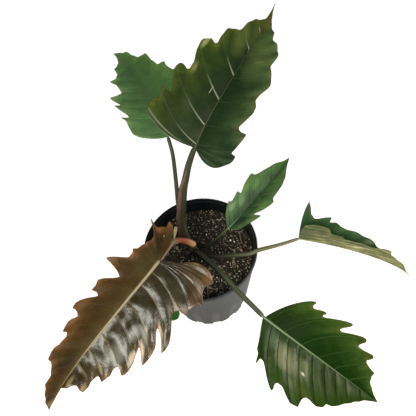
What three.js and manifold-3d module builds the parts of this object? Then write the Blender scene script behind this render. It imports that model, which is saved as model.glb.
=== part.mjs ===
// Potted caramel pluto philodendron. Millimetres, +Z up, the pot's underside on z = 0, +X right and -Y front.
import * as THREE from "three";
import { mergeVertices } from "three/addons/utils/BufferGeometryUtils.js";
import Module from "manifold-3d";

// Nursery pot
const potHeight = 140;
const rimRadius = 76;
const wallTopRadius = 74.4;
const baseRadius = 57;
const wall = 1.6;
const lipHeight = 10;
const potSides = 60;
const drainSlots = 14;
const slotWidth = 11;
const drainHoles = 6;
const drainHoleRadius = 4;

// Potting mix
const mixTop = 120;
const mixClearance = 0.4;
const mixBumps = 190;
const mixSeed = 7;

// Stem
const crown = [-10, 10];
const stemRadius = 8;
const stemBottom = 72;
const stemTop = 127;

// Leaves
const touchGap = 0.3;
const bladeClearance = 0.9;
const bladeThickness = 0.8;
const ribWidth = 2.2;
const ribExtra = 1.8;
const rowShares = [0.42, 0.75, 1];
const stalkSides = 8;

const degree = Math.PI / 180;
const wasm = await Module();
wasm.setup();

// Solids for cutting and joining
function solidOf(geometry) {
  const bare = geometry.clone();
  bare.deleteAttribute("normal");
  bare.deleteAttribute("uv");
  const merged = mergeVertices(bare, 1e-3);
  return new wasm.Manifold(
    new wasm.Mesh({
      numProp: 3,
      vertProperties: new Float32Array(merged.attributes.position.array),
      triVerts: new Uint32Array(merged.index.array),
    }),
  );
}

function geometryOf(solid) {
  const mesh = solid.getMesh();
  const geometry = new THREE.BufferGeometry();
  geometry.setAttribute("position", new THREE.BufferAttribute(new Float32Array(mesh.vertProperties), 3));
  geometry.setIndex(new THREE.BufferAttribute(new Uint32Array(mesh.triVerts), 1));
  geometry.computeVertexNormals();
  return geometry;
}

function largestBody(solid) {
  const bodies = solid.decompose();
  return bodies.reduce((best, body) => (body.volume() > best.volume() ? body : best));
}

function seeded(seed) {
  let state = seed;
  return () => {
    state = (state * 1664525 + 1013904223) % 4294967296;
    return state / 4294967296;
  };
}

// Each half of a leaf has its margin as points of station and reach. A station from 0 up is the distance in mm
// along the midrib where a side vein leaves it. A station below 0 is the angle in degrees by which a vein is
// turned back round the stalk. The reach is the distance in mm along that vein. A vein leaves the midrib at an
// angle that runs from veins[0] at the stalk to veins[1] at the tip, and turns forward by bend degrees a mm.
// A third value shifts the vein's end by that much of a station. The half rises from the midrib by fold degrees
// and curls by curl degrees a mm.
const leaves = {
  tall: {
    rib: [[19, 47, 290], [40, 77, 312], [119, 146, 334], [158, 216, 325]],
    up: [[0.15, -0.4, 0.9], [0.25, -0.3, 0.9]],
    ripple: 1.6,
    right: {
      veins: [84, 36], bend: 0.45, fold: 8, curl: -0.15,
      margin: [
        [-58, 0], [-55, 14], [-50, 25], [-42, 33], [-31, 39], [-20, 46], [-8, 48], [-3, 43], [4, 46], [17, 51],
        [22, 52], [24, 45], [31, 39], [38, 43], [48, 48], [54, 48], [63, 43], [70, 45], [78, 53], [90, 50],
        [108, 41], [118, 45], [133, 39], [153, 24], [161, 22], [175, 13], [206, 3], [225, 0],
      ],
    },
    left: {
      veins: [76, 30], bend: 0.35, fold: 12, curl: -0.1,
      margin: [
        [-20, 0], [-18, 20], [-17, 40], [-16, 63], [-10, 72], [-4, 72], [0, 69], [5, 71], [8, 73], [11, 65],
        [14, 58], [20, 66], [25, 72], [31, 74], [38, 68], [40, 60], [43, 57], [50, 58], [58, 67], [66, 70],
        [74, 66], [81, 60], [84, 51], [88, 48], [96, 51], [108, 50], [118, 43], [129, 32], [140, 30],
        [154, 26], [171, 15], [190, 3], [206, 1], [225, 0],
      ],
    },
  },
  back: {
    rib: [[-10, 110, 242], [-19, 141, 262], [-34, 214, 266], [-61, 271, 250]],
    up: [[-0.05, -0.2, 0.97], [-0.2, -0.15, 0.97]],
    ripple: 1.4,
    right: {
      veins: [80, 45], bend: 0.5, fold: 4, curl: -0.1,
      margin: [
        [-16, 0], [-13, 24], [-8, 42], [0, 54], [5, 49], [16, 60], [24, 68], [30, 60], [36, 63], [42, 71],
        [47, 60], [60, 54], [64, 57], [71, 51], [75, 43], [88, 41], [98, 42], [109, 34], [116, 25],
        [127, 22], [140, 19], [158, 8], [173, 0],
      ],
    },
    left: {
      veins: [80, 45], bend: 0.6, fold: 0, curl: -0.1,
      margin: [
        [-2, 0], [0, 15], [2, 34], [6, 43], [18, 45], [25, 45], [29, 53], [31, 38], [36, 40], [48, 55],
        [50, 42], [62, 58], [67, 43], [75, 32], [90, 34], [99, 43], [104, 28], [116, 22], [127, 21],
        [143, 7], [158, 2], [173, 0],
      ],
    },
  },
  caramel: {
    rib: [[-53, -43, 205], [-97, -86, 206], [-185, -134, 165], [-225, -156, 100]],
    up: [[-0.05, -0.5, 0.85], [-0.15, -0.6, 0.8]],
    ripple: 1.2,
    right: {
      veins: [95, 50], bend: 0.55, fold: 36, curl: -0.25,
      margin: [
        [-92, 0], [-90, 20], [-86, 35], [-83, 43], [-79, 47], [-72, 52], [-69, 44], [-61, 43], [-52, 42],
        [-47, 46], [-46, 58], [-44, 51], [-42, 39], [-38, 32], [-28, 29], [-12, 30], [0, 32], [4, 33], [5, 38],
        [9, 35], [15, 35], [17, 41], [18, 50], [20, 59], [25, 49], [32, 35], [37, 28], [40, 35], [42, 44],
        [44, 48], [51, 46], [56, 47], [57, 40], [62, 34], [64, 44], [67, 51], [70, 54], [76, 53], [77, 49],
        [82, 43], [87, 40], [89, 45], [92, 47], [98, 46], [104, 45], [105, 40], [111, 37], [116, 38],
        [121, 39], [122, 42], [129, 43], [138, 41], [143, 36], [159, 27], [169, 24], [178, 25], [198, 18],
        [219, 10], [239, 0],
      ],
    },
    left: {
      veins: [92, 60], bend: 0.68, fold: 2, curl: -0.1,
      margin: [
        [-44, 0], [-43.8, 12], [-43.6, 27, 1.5], [-43.4, 42, -8], [-43, 52, -9], [-42.6, 64, -7],
        [-42.3, 70, -3], [-42, 75], [-36, 70], [-30, 65], [-24, 67], [-20, 76], [-17, 78], [-15, 71], [-7, 69],
        [-2, 69], [0, 74], [8, 61], [18, 55], [20, 57], [22, 70], [23, 79], [24, 85], [29, 89], [36, 88],
        [37, 72], [39, 60], [40.5, 53], [42.7, 54], [44.4, 62], [45.4, 71], [51, 76], [58, 78], [64, 77],
        [67, 75], [67.4, 64], [68, 55], [69.4, 51], [73, 53], [77, 57], [81, 62], [86, 64], [94, 65],
        [101, 61], [102, 54], [103.5, 48], [108, 45], [112, 44], [118, 47], [124, 45], [129, 44], [134.5, 43],
        [135, 36], [138, 32], [142, 31], [147, 30], [156, 32], [166, 30], [170, 24], [173, 17], [179, 12],
        [188, 7], [195, 1], [215, 1], [239, 0],
      ],
    },
  },
  front: {
    rib: [[55, -123, 165], [88, -167, 166], [126, -201, 140], [167, -233, 95]],
    up: [[0.05, -0.45, 0.9], [0.05, -0.5, 0.87]],
    ripple: 1.2,
    right: {
      veins: [66, 42], bend: 0.3, fold: 10, curl: -0.1,
      margin: [
        [-0.5, 0], [0, 11, 1.4], [0.3, 23, 0.6], [0.6, 34, -3], [0.9, 39, -5], [1.2, 42, -2.2], [1.5, 47, -4],
        [1.8, 54, -6.8], [2.1, 55, -6], [2.4, 48, -1.6], [4, 48], [6, 53], [6.4, 64], [7, 74], [9, 78],
        [12, 74], [15, 67], [19, 63], [24, 64], [26, 72], [29, 80], [37, 79], [41, 73], [47, 65], [54, 59],
        [58, 60], [64, 63], [74, 59], [81, 51], [89, 50], [98, 44], [116, 32], [135, 20], [154, 9], [176, 0],
      ],
    },
    left: {
      veins: [74, 46], bend: 0.6, fold: 14, curl: -0.1,
      margin: [
        [2, 0], [2.4, 10, 0.8], [2.8, 24], [3.2, 38, -0.8], [3.6, 52, -2.2], [4, 62, -2.8], [4.5, 65, -2],
        [5.2, 62], [9, 55], [13, 53], [15, 59], [17, 62], [20, 61], [23, 53], [26, 53], [27, 63], [27.6, 79],
        [30, 81], [35, 76], [38, 70], [42, 58], [44, 54], [47.6, 54], [48.6, 68], [49.6, 78], [53, 78],
        [59, 73], [66, 58], [70, 54], [76, 56], [82, 62], [87, 58], [91, 53], [94, 46], [100, 41], [108, 38],
        [118, 37], [124, 28], [140, 16], [160, 6], [176, 0],
      ],
    },
  },
  side: {
    rib: [[122, -38, 175], [162, -58, 180], [232, -92, 165], [248, -102, 135]],
    up: [[0.1, 0, 1], [0.1, 0, 1]],
    ripple: 1,
    right: {
      veins: [62, 40], bend: 0.3, fold: 98, curl: 0,
      margin: [
        [-22, 0], [-19, 18], [-15, 29], [-4, 37], [11, 37], [23, 25], [33, 26], [41, 20], [51, 22], [66, 22],
        [74, 24], [84, 30], [97, 19], [111, 16], [126, 10], [140, 2], [152, 0],
      ],
    },
    left: {
      veins: [62, 40], bend: 0.3, fold: 28, curl: 0,
      margin: [
        [-33, 0], [-31, 30], [-29, 49], [-15, 34], [-5, 32], [5, 38], [11, 41], [14, 33], [19, 36], [30, 30],
        [41, 30], [51, 29], [74, 24], [84, 17], [97, 15], [111, 12], [126, 6], [140, 2], [152, 0],
      ],
    },
  },
  young: {
    rib: [[41, 5, 163], [73, 19, 180], [108, 40, 194], [139, 68, 200]],
    up: [[-0.05, -0.45, 0.9], [-0.05, -0.45, 0.9]],
    ripple: 0.8,
    right: {
      veins: [52, 32], bend: 0.4, fold: 14, curl: -0.1,
      margin: [
        [-20, 0], [-8, 9], [5, 19], [20, 29], [24, 16], [30, 26], [38, 32], [47, 26], [66, 25], [81, 20],
        [100, 10], [123, 0],
      ],
    },
    left: {
      veins: [52, 32], bend: 0.2, fold: 14, curl: -0.1,
      margin: [
        [-20, 0], [-4, 20], [4, 33], [9, 29], [19, 35], [25, 28], [31, 36], [42, 41], [49, 34], [64, 28],
        [90, 18], [108, 7], [123, 0],
      ],
    },
  },
  low: {
    rib: [[-49, -73, 146], [-71, -73, 148], [-98, -70, 138], [-124, -67, 122]],
    up: [[-0.1, -0.3, 0.95], [-0.1, -0.3, 0.95]],
    ripple: 0.6,
    right: {
      veins: [70, 40], bend: 0.3, fold: 8, curl: -0.1,
      margin: [[-24, 0], [-16, 13], [4, 17], [9, 14], [22, 19], [29, 15], [45, 14], [54, 10], [70, 4], [81, 0]],
    },
    left: {
      veins: [70, 40], bend: 0.3, fold: 8, curl: -0.1,
      margin: [[-64, 0], [-50, 15], [-32, 21], [-12, 22], [4, 20], [9, 15], [22, 19], [29, 15], [45, 14], [54, 10], [70, 4], [81, 0]],
    },
  },
};

// Points that each stalk passes through, with its radius at the stem, in the middle and at the blade
const stalks = {
  tall: {
    path: [
      [-17, 20, 123], [-18, 27, 138], [-16, 36, 160], [-11, 43, 182], [-5, 48, 210], [1, 49, 232],
      [7, 49, 255], [15, 48, 280], [19, 47, 289],
    ],
    radii: [8, 5.4, 3.3],
  },
  caramel: {
    path: [[-6, 8, 131], [-12, 10, 139], [-20, 9, 150], [-30, 1, 168], [-38, -14, 183], [-46, -30, 195], [-52, -41, 201.6]],
    radii: [5.4, 3.4, 2.6],
  },
  back: {
    path: [[-11, 19, 126], [-15, 37, 138], [-17, 52, 152], [-16, 62, 165], [-14, 70, 180], [-12, 79, 195], [-9, 94, 225], [-10, 109, 240]],
    radii: [4.2, 3, 2.5],
  },
  front: {
    path: [[-8, 5, 125], [-1, -10, 134], [15, -40, 145], [27, -67, 154], [37, -89, 160], [46, -106, 163], [54.6, -122.2, 164.6]],
    radii: [4.8, 3.9, 3],
  },
  side: {
    path: [[-4, 4, 126], [10, -14, 133], [36, -24, 143], [60, -32, 152], [70, -32, 156], [97, -36, 166], [121, -38, 174]],
    radii: [4.2, 3.1, 2],
  },
  young: {
    path: [[-2, 9, 126], [9, 2, 135], [18, 1, 144], [29, 3, 153], [41, 5, 162]],
    radii: [2.8, 2, 1.5],
  },
  low: {
    path: [[-10, 3, 125], [-8, -20, 138], [-19, -49, 149], [-32, -66, 152], [-43, -71, 148], [-48, -73, 143.6]],
    radii: [3.2, 2.3, 1.8],
  },
};

// Long papery bract that wraps the front left of the tall leaf's stalk
const sheath = {
  path: [[-22, 23, 124], [-22, 30, 144], [-19, 38, 164], [-13, 44, 190], [-6, 47, 216], [2, 47, 242], [7, 47.5, 254]],
  radii: [7, 5.2, 1],
};

const lerp = THREE.MathUtils.lerp;
const clamp = THREE.MathUtils.clamp;

function vector(point) {
  return new THREE.Vector3(point[0], point[1], point[2]);
}

// Distance along and away from the midrib of a point on a side vein, on the flattened leaf
function flatPoint(half, length, station, reach) {
  const root = Math.max(station, 0);
  const angle = station < 0 ? half.veins[0] - station : lerp(half.veins[0], half.veins[1], root / length);
  const start = angle * degree;
  const turn = half.bend * degree;
  const end = start - turn * reach;
  return {
    along: root + (Math.sin(start) - Math.sin(end)) / turn,
    away: (Math.cos(end) - Math.cos(start)) / turn,
  };
}

// The same point on the leaf as it stands in space
function leafPoint(leaf, curve, length, side, station, reach, share) {
  const half = side > 0 ? leaf.right : leaf.left;
  const { along, away } = flatPoint(half, length, station, reach);
  const place = clamp(along / length, 0, 1);
  const point = curve.getPointAt(place);
  const tangent = curve.getTangentAt(place);
  const up = vector(leaf.up[0]).lerp(vector(leaf.up[1]), place);
  const right = new THREE.Vector3().crossVectors(tangent, up).normalize();
  const normal = new THREE.Vector3().crossVectors(right, tangent);
  const fold = half.fold * degree;
  const curl = half.curl * degree;
  const bent = fold + curl * away;
  const across = curl ? (Math.sin(bent) - Math.sin(fold)) / curl : away * Math.cos(fold);
  const rise = curl ? (Math.cos(fold) - Math.cos(bent)) / curl : away * Math.sin(fold);
  const wave = leaf.ripple * share ** 3 * clamp(reach / 20, 0, 1) * Math.sin(station * 0.32 + side);
  return point
    .addScaledVector(tangent, Math.min(along, 0))
    .addScaledVector(right, side * across)
    .addScaledVector(normal, rise + wave);
}

// Reach of the margin at a station, and the shift of the vein's end there
function marginAt(margin, station) {
  if (station <= margin[0][0]) return [0, 0];
  const next = margin.findIndex((point) => point[0] >= station);
  if (next < 0) return [0, 0];
  const [a, b] = [margin[next - 1], margin[next]];
  const share = (station - a[0]) / (b[0] - a[0]);
  return [lerp(a[1], b[1], share), lerp(a[2] ?? 0, b[2] ?? 0, share)];
}

// Stations where the margin of either half has a point, each once and in order
function stationsOf(leaf) {
  const all = [...leaf.right.margin, ...leaf.left.margin].map((point) => point[0]).sort((a, b) => a - b);
  return all.filter((station, i) => i === 0 || station > all[i - 1]);
}

// A leaf blade as an open sheet, thicker along its midrib
function bladeSheet(leaf) {
  const curve = new THREE.CubicBezierCurve3(...leaf.rib.map(vector));
  const length = curve.getLength();
  const stations = stationsOf(leaf);
  const perSide = rowShares.length + 1;
  const sheet = new THREE.PlaneGeometry(1, 1, stations.length - 1, 2 * perSide);
  const position = sheet.attributes.position;
  const depth = new Float32Array(position.count);
  stations.forEach((station, column) => {
    for (let row = 0; row <= 2 * perSide; row++) {
      const side = row < perSide ? -1 : 1;
      const step = Math.abs(row - perSide);
      const [edge, shift] = marginAt(side > 0 ? leaf.right.margin : leaf.left.margin, station);
      const beside = Math.min(ribWidth, 0.3 * edge);
      const share = step < 2 ? 0 : rowShares[step - 2];
      const reach = step === 0 ? 0 : step === 1 ? beside : edge * share;
      const index = row * stations.length + column;
      const point = leafPoint(leaf, curve, length, side, station + shift * share ** 6, reach, share);
      position.setXYZ(index, point.x, point.y, point.z);
      const fade = 1 - clamp(station / length, 0, 1);
      depth[index] = bladeThickness + (reach === 0 ? ribExtra * fade : 0);
    }
  });
  sheet.deleteAttribute("normal");
  sheet.deleteAttribute("uv");
  sheet.setAttribute("depth", new THREE.BufferAttribute(depth, 1));
  return mergeVertices(sheet, 1e-3);
}

// A closed solid from a sheet: its two faces are split into triangles alike, with a wall along its edge
function thicken(sheet, extra = 0) {
  const index = sheet.index.array;
  const faces = [];
  for (let i = 0; i < index.length; i += 3) {
    const [a, b, c] = [index[i], index[i + 1], index[i + 2]];
    if (a !== b && b !== c && c !== a) faces.push([a, b, c]);
  }
  const flat = new THREE.BufferGeometry();
  flat.setAttribute("position", sheet.attributes.position);
  flat.setIndex(faces.flat());
  flat.computeVertexNormals();
  const position = flat.attributes.position;
  const normal = flat.attributes.normal;
  const depth = sheet.attributes.depth;
  const count = position.count;
  const points = new Float32Array(count * 6);
  for (let i = 0; i < count; i++) {
    for (const [layer, way] of [[0, 0.5], [1, -0.5]]) {
      const offset = way * (depth.getX(i) + extra);
      points[(layer * count + i) * 3] = position.getX(i) + normal.getX(i) * offset;
      points[(layer * count + i) * 3 + 1] = position.getY(i) + normal.getY(i) * offset;
      points[(layer * count + i) * 3 + 2] = position.getZ(i) + normal.getZ(i) * offset;
    }
  }
  const edges = new Set(faces.flatMap(([a, b, c]) => [a + " " + b, b + " " + c, c + " " + a]));
  const all = [];
  for (const [a, b, c] of faces) {
    all.push([a, b, c], [count + c, count + b, count + a]);
    for (const [p, q] of [[a, b], [b, c], [c, a]]) {
      if (!edges.has(q + " " + p)) all.push([q, p, count + p], [q, count + p, count + q]);
    }
  }
  const solid = new THREE.BufferGeometry();
  solid.setAttribute("position", new THREE.BufferAttribute(points, 3));
  solid.setIndex(all.flat());
  return solid;
}

// A tapered tube through points
function taperedTube(path, radii, extra = 0) {
  const curve = new THREE.CatmullRomCurve3(path.map(vector));
  const steps = Math.max(8, Math.round(curve.getLength() / 9));
  const section = new THREE.Shape().absarc(0, 0, 1, 0, 2 * Math.PI);
  const tube = new THREE.ExtrudeGeometry(section, {
    steps,
    extrudePath: curve,
    bevelEnabled: false,
    curveSegments: stalkSides / 2,
  });
  const stations = curve.getSpacedPoints(steps);
  const position = tube.attributes.position;
  const point = new THREE.Vector3();
  for (let i = 0; i < position.count; i++) {
    point.fromBufferAttribute(position, i);
    const nearest = stations.reduce((best, s, k) => (s.distanceTo(point) < stations[best].distanceTo(point) ? k : best), 0);
    const place = nearest / steps;
    const radius = place < 0.5
      ? lerp(radii[0], radii[1], Math.sqrt(2 * place))
      : lerp(radii[1], radii[2], 2 * place - 1);
    point.sub(stations[nearest]).multiplyScalar(radius + extra).add(stations[nearest]);
    position.setXYZ(i, point.x, point.y, point.z);
  }
  return tube;
}

const group = new THREE.Group();

function addMesh(name, geometry, colour, roughness) {
  const material = new THREE.MeshStandardMaterial({ color: colour, roughness, metalness: 0 });
  const mesh = new THREE.Mesh(geometry, material);
  mesh.name = name;
  group.add(mesh);
}

// Pot: a tapered cup with a proud lip and a step inside it, slots round the foot and holes in the base
const lipZ = potHeight - lipHeight;
const floorZ = 2;
const innerBase = baseRadius - wall;
const innerTop = wallTopRadius - wall;
const innerRadiusAt = (z) => lerp(innerBase, innerTop, (z - floorZ - 1) / (lipZ - floorZ - 1));
const potProfile = [
  [0, 0],
  [baseRadius - 1, 0],
  [baseRadius, 1],
  [wallTopRadius, lipZ],
  [rimRadius - 0.6, lipZ + 0.6],
  [rimRadius, lipZ + 1.6],
  [rimRadius, potHeight - 0.8],
  [rimRadius - 0.7, potHeight],
  [rimRadius - 1.6, potHeight],
  [rimRadius - 2.2, potHeight - 0.7],
  [rimRadius - 2.6, lipZ + 3],
  [innerTop, lipZ],
  [innerBase, floorZ + 1],
  [innerBase - 1, floorZ],
  [0, floorZ],
].map(([radius, z]) => new THREE.Vector2(radius, z));
const cup = new THREE.LatheGeometry(potProfile, potSides).rotateX(Math.PI / 2).scale(1, -1, 1);
let potSolid = solidOf(turnedOut(cup));
for (let i = 0; i < drainSlots; i++) {
  const slot = new THREE.BoxGeometry(14, slotWidth, 5.2);
  slot.translate(baseRadius + 1.5, 0, 0).rotateZ(((i + 0.5) / drainSlots) * 2 * Math.PI);
  potSolid = potSolid.subtract(solidOf(slot));
}
for (let i = 0; i < drainHoles; i++) {
  const hole = new THREE.CylinderGeometry(drainHoleRadius, drainHoleRadius, 8, 12);
  hole.rotateX(Math.PI / 2).translate(32, 0, 0).rotateZ((i / drainHoles) * 2 * Math.PI);
  potSolid = potSolid.subtract(solidOf(hole));
}
addMesh("pot", geometryOf(potSolid), "#2c3133", 0.45);

// Faces turned outward, whichever way a profile was given
function turnedOut(geometry) {
  const solid = solidOf(geometry);
  if (solid.volume() > 0) return geometry;
  const turned = geometry.clone();
  const index = turned.index.array;
  for (let i = 0; i < index.length; i += 3) [index[i], index[i + 1]] = [index[i + 1], index[i]];
  return turned;
}

// Stem: a short ringed stub that stands in a plain hole in the mix
const stemProfile = [
  [0, stemBottom],
  [stemRadius - 2, stemBottom],
  [stemRadius, stemBottom + 4],
  [stemRadius - 0.6, 104],
  [stemRadius, 108],
  [stemRadius - 0.8, 114],
  [stemRadius, 118],
  [stemRadius - 1.2, stemTop - 2],
  [0, stemTop],
].map(([radius, z]) => new THREE.Vector2(radius, z));
const stemLathe = new THREE.LatheGeometry(stemProfile, 16).rotateX(Math.PI / 2).scale(1, -1, 1);
const stemGeometry = turnedOut(stemLathe).translate(crown[0], crown[1], 0);
addMesh("stem", stemGeometry, "#4a3a2e", 0.75);
const stemRoom = solidOf(
  new THREE.CylinderGeometry(stemRadius + touchGap, stemRadius + touchGap, stemTop - stemBottom + 2 * touchGap, 20)
    .rotateX(Math.PI / 2)
    .translate(crown[0], crown[1], (stemBottom + stemTop) / 2),
);

// Potting mix: fills the pot, its surface raised in lumps by a seeded rule
const random = seeded(mixSeed);
const lumps = Array.from({ length: mixBumps }, () => {
  const radius = 70 * Math.sqrt(random());
  const turn = 2 * Math.PI * random();
  return {
    x: radius * Math.cos(turn),
    y: radius * Math.sin(turn),
    width: 3 + 5 * random(),
    height: 0.8 + 2.4 * random(),
  };
});
function mixHeight(x, y) {
  const relief = lumps.reduce((top, lump) => {
    const distance = Math.hypot(x - lump.x, y - lump.y) / lump.width;
    return Math.max(top, lump.height * Math.exp(-distance * distance));
  }, 0);
  return mixTop - 1.5 + relief;
}
const mixEdge = innerRadiusAt(mixTop - 3) - mixClearance;
const mixProfile = [
  [0, floorZ + mixClearance],
  [innerBase - 1.6, floorZ + mixClearance],
  [innerRadiusAt(20) - mixClearance, 20],
  [mixEdge, mixTop - 3],
  ...[mixEdge, 67, 62, 57, 52, 46, 40, 34, 28, 21, 14, 7, 0].map((radius) => [radius, mixTop]),
].map(([radius, z]) => new THREE.Vector2(radius, z));
const mix = new THREE.LatheGeometry(mixProfile, potSides).rotateX(Math.PI / 2).scale(1, -1, 1);
const mixPosition = mix.attributes.position;
for (let i = 0; i < mixPosition.count; i++) {
  if (mixPosition.getZ(i) < mixTop - 1) continue;
  mixPosition.setZ(i, mixHeight(mixPosition.getX(i), mixPosition.getY(i)));
}
const mixSolid = solidOf(turnedOut(mix)).subtract(stemRoom);
addMesh("potting_mix", geometryOf(mixSolid), "#2b241d", 0.95);

// Blades
const bladeLooks = {
  tall: ["#3b4a2a", 0.4],
  back: ["#3f6b3c", 0.5],
  caramel: ["#5d4529", 0.3],
  front: ["#2f4f24", 0.4],
  side: ["#5f7250", 0.5],
  young: ["#557f45", 0.45],
  low: ["#3a6a2e", 0.5],
};
const bladeRoom = {};
for (const [name, leaf] of Object.entries(leaves)) {
  const sheet = bladeSheet(leaf);
  addMesh(name + "_leaf", thicken(sheet), ...bladeLooks[name]);
  bladeRoom[name] = solidOf(thicken(sheet, bladeClearance));
}

// Stalks: each is cut clear of the stem, of its blade and of the stalks before it
const stalkLooks = {
  tall: "#6b5a4a",
  caramel: "#b5674a",
  back: "#4f5f3f",
  front: "#56703f",
  side: "#6e7a58",
  young: "#5d7a45",
  low: "#56703f",
};
const taken = [stemRoom, solidOf(mix)];
for (const [name, { path, radii }] of Object.entries(stalks)) {
  let solid = solidOf(taperedTube(path, radii));
  for (const room of [bladeRoom[name], ...taken]) solid = solid.subtract(room);
  addMesh(name + "_leaf_stalk", geometryOf(largestBody(solid)), stalkLooks[name], 0.5);
  taken.push(solidOf(taperedTube(path, radii, touchGap + 0.1)));
}
let sheathSolid = solidOf(taperedTube(sheath.path, sheath.radii));
for (const room of taken) sheathSolid = sheathSolid.subtract(room);
addMesh("tall_leaf_sheath", geometryOf(largestBody(sheathSolid)), "#7d5a4c", 0.6);

export default group;
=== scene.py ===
import bmesh
import bpy
import math
import random
from mathutils import Matrix, Vector, noise
from mathutils.geometry import interpolate_bezier


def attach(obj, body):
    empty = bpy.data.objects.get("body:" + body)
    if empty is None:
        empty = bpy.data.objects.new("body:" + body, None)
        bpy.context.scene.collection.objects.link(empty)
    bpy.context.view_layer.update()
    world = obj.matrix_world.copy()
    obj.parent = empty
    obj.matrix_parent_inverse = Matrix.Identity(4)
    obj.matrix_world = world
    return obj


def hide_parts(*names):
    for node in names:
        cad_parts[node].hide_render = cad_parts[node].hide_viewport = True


# Potted caramel pluto philodendron: fine blades, midribs, stalks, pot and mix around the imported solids
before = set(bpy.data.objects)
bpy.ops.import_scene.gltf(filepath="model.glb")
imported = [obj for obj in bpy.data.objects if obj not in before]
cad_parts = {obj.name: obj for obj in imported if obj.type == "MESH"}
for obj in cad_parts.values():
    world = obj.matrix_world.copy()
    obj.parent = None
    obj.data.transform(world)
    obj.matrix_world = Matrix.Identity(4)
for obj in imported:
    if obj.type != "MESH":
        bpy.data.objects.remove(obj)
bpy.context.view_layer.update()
mm = 0.001
print("frame loaded")


# Small helpers
def linearColour(hexColour):
    channels = [int(hexColour[i:i + 2], 16) / 255 for i in (1, 3, 5)]
    return [c / 12.92 if c <= 0.04045 else ((c + 0.055) / 1.055) ** 2.4 for c in channels] + [1]


def blend(a, b, share):
    return a + (b - a) * share


def clamp(value, low=0, high=1):
    return max(low, min(high, value))


def smooth(value):
    value = clamp(value)
    return value * value * (3 - 2 * value)


def startMaterial(name):
    material = bpy.data.materials.new(name)
    material.use_nodes = True
    tree = material.node_tree
    return material, tree, tree.nodes["Principled BSDF"]


def addNode(tree, kind, inputs=None, **settings):
    node = tree.nodes.new("ShaderNode" + kind)
    for name, value in settings.items():
        setattr(node, name, value)
    for key, value in (inputs or {}).items():
        if isinstance(value, bpy.types.NodeSocket):
            tree.links.new(value, node.inputs[key])
        else:
            node.inputs[key].default_value = value
    return node


def compute(tree, operation, *values):
    return addNode(tree, "Math", dict(enumerate(values)), operation=operation).outputs[0]


def mapRange(tree, value, low, high, toLow=0, toHigh=1):
    return addNode(tree, "MapRange", {0: value, 1: low, 2: high, 3: toLow, 4: toHigh}).outputs[0]


def scaleVector(tree, vector, scale):
    return addNode(tree, "VectorMath", {0: vector, 1: scale}, operation="MULTIPLY").outputs[0]


def joinVector(tree, x, y):
    return addNode(tree, "CombineXYZ", {0: x, 1: y}).outputs[0]


def splitVector(tree, vector):
    return list(addNode(tree, "SeparateXYZ", {0: vector}).outputs)


def readUv(tree, layer):
    return addNode(tree, "UVMap", uv_map=layer).outputs[0]


def objectPlace(tree):
    return addNode(tree, "TexCoord").outputs["Object"]


def addNoise(tree, vector, size, detail, roughness=0.5):
    settings = {"Vector": vector, "Scale": 1 / size, "Detail": detail, "Roughness": roughness}
    return addNode(tree, "TexNoise", settings).outputs[0]


def addRamp(tree, value, stops):
    ramp = addNode(tree, "ValToRGB", {0: value})
    elements = ramp.color_ramp.elements
    while len(elements) > 1:
        elements.remove(elements[-1])
    for i, (place, colour) in enumerate(stops):
        element = elements[0] if i == 0 else elements.new(place)
        element.position = place
        element.color = linearColour(colour)
    return ramp.outputs[0]


def overlay(tree, colour, mask, over):
    return addNode(tree, "Mix", {0: mask, 6: colour, 7: over}, data_type="RGBA").outputs[2]


def darken(tree, colour, shade):
    inputs = {0: 1, 6: colour, 7: shade}
    return addNode(tree, "Mix", inputs, data_type="RGBA", blend_type="MULTIPLY").outputs[2]


def addBump(tree, shader, height, strength, depth):
    bump = addNode(tree, "Bump", {"Strength": strength, "Distance": depth * mm, "Height": height})
    tree.links.new(bump.outputs[0], shader.inputs["Normal"])


def turnProfile(profile, steps):
    # a body turned from points of radius and height in mm
    bm = bmesh.new()
    line = [bm.verts.new((radius * mm, 0, z * mm)) for radius, z in profile]
    edges = [bm.edges.new(pair) for pair in zip(line, line[1:])]
    bmesh.ops.spin(
        bm, geom=line + edges, cent=(0, 0, 0), axis=(0, 0, 1), angle=2 * math.pi, steps=steps, use_merge=True
    )
    bmesh.ops.remove_doubles(bm, verts=bm.verts, dist=0.01 * mm)
    return bm


def finishPiece(name, bm, materials, node, modifiers=(), smoothShade=True):
    # node is the solid that the piece replaces, which is hidden
    mesh = bpy.data.meshes.new(name)
    bm.to_mesh(mesh)
    bm.free()
    for material in materials:
        mesh.materials.append(material)
    if smoothShade:
        mesh.shade_smooth()
    piece = bpy.data.objects.new(name, mesh)
    bpy.context.scene.collection.objects.link(piece)
    for kind, settings in modifiers:
        modifier = piece.modifiers.new(kind.title(), kind)
        for key, value in settings.items():
            setattr(modifier, key, value)
    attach(piece, "root")
    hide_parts(node)
    return piece


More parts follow.
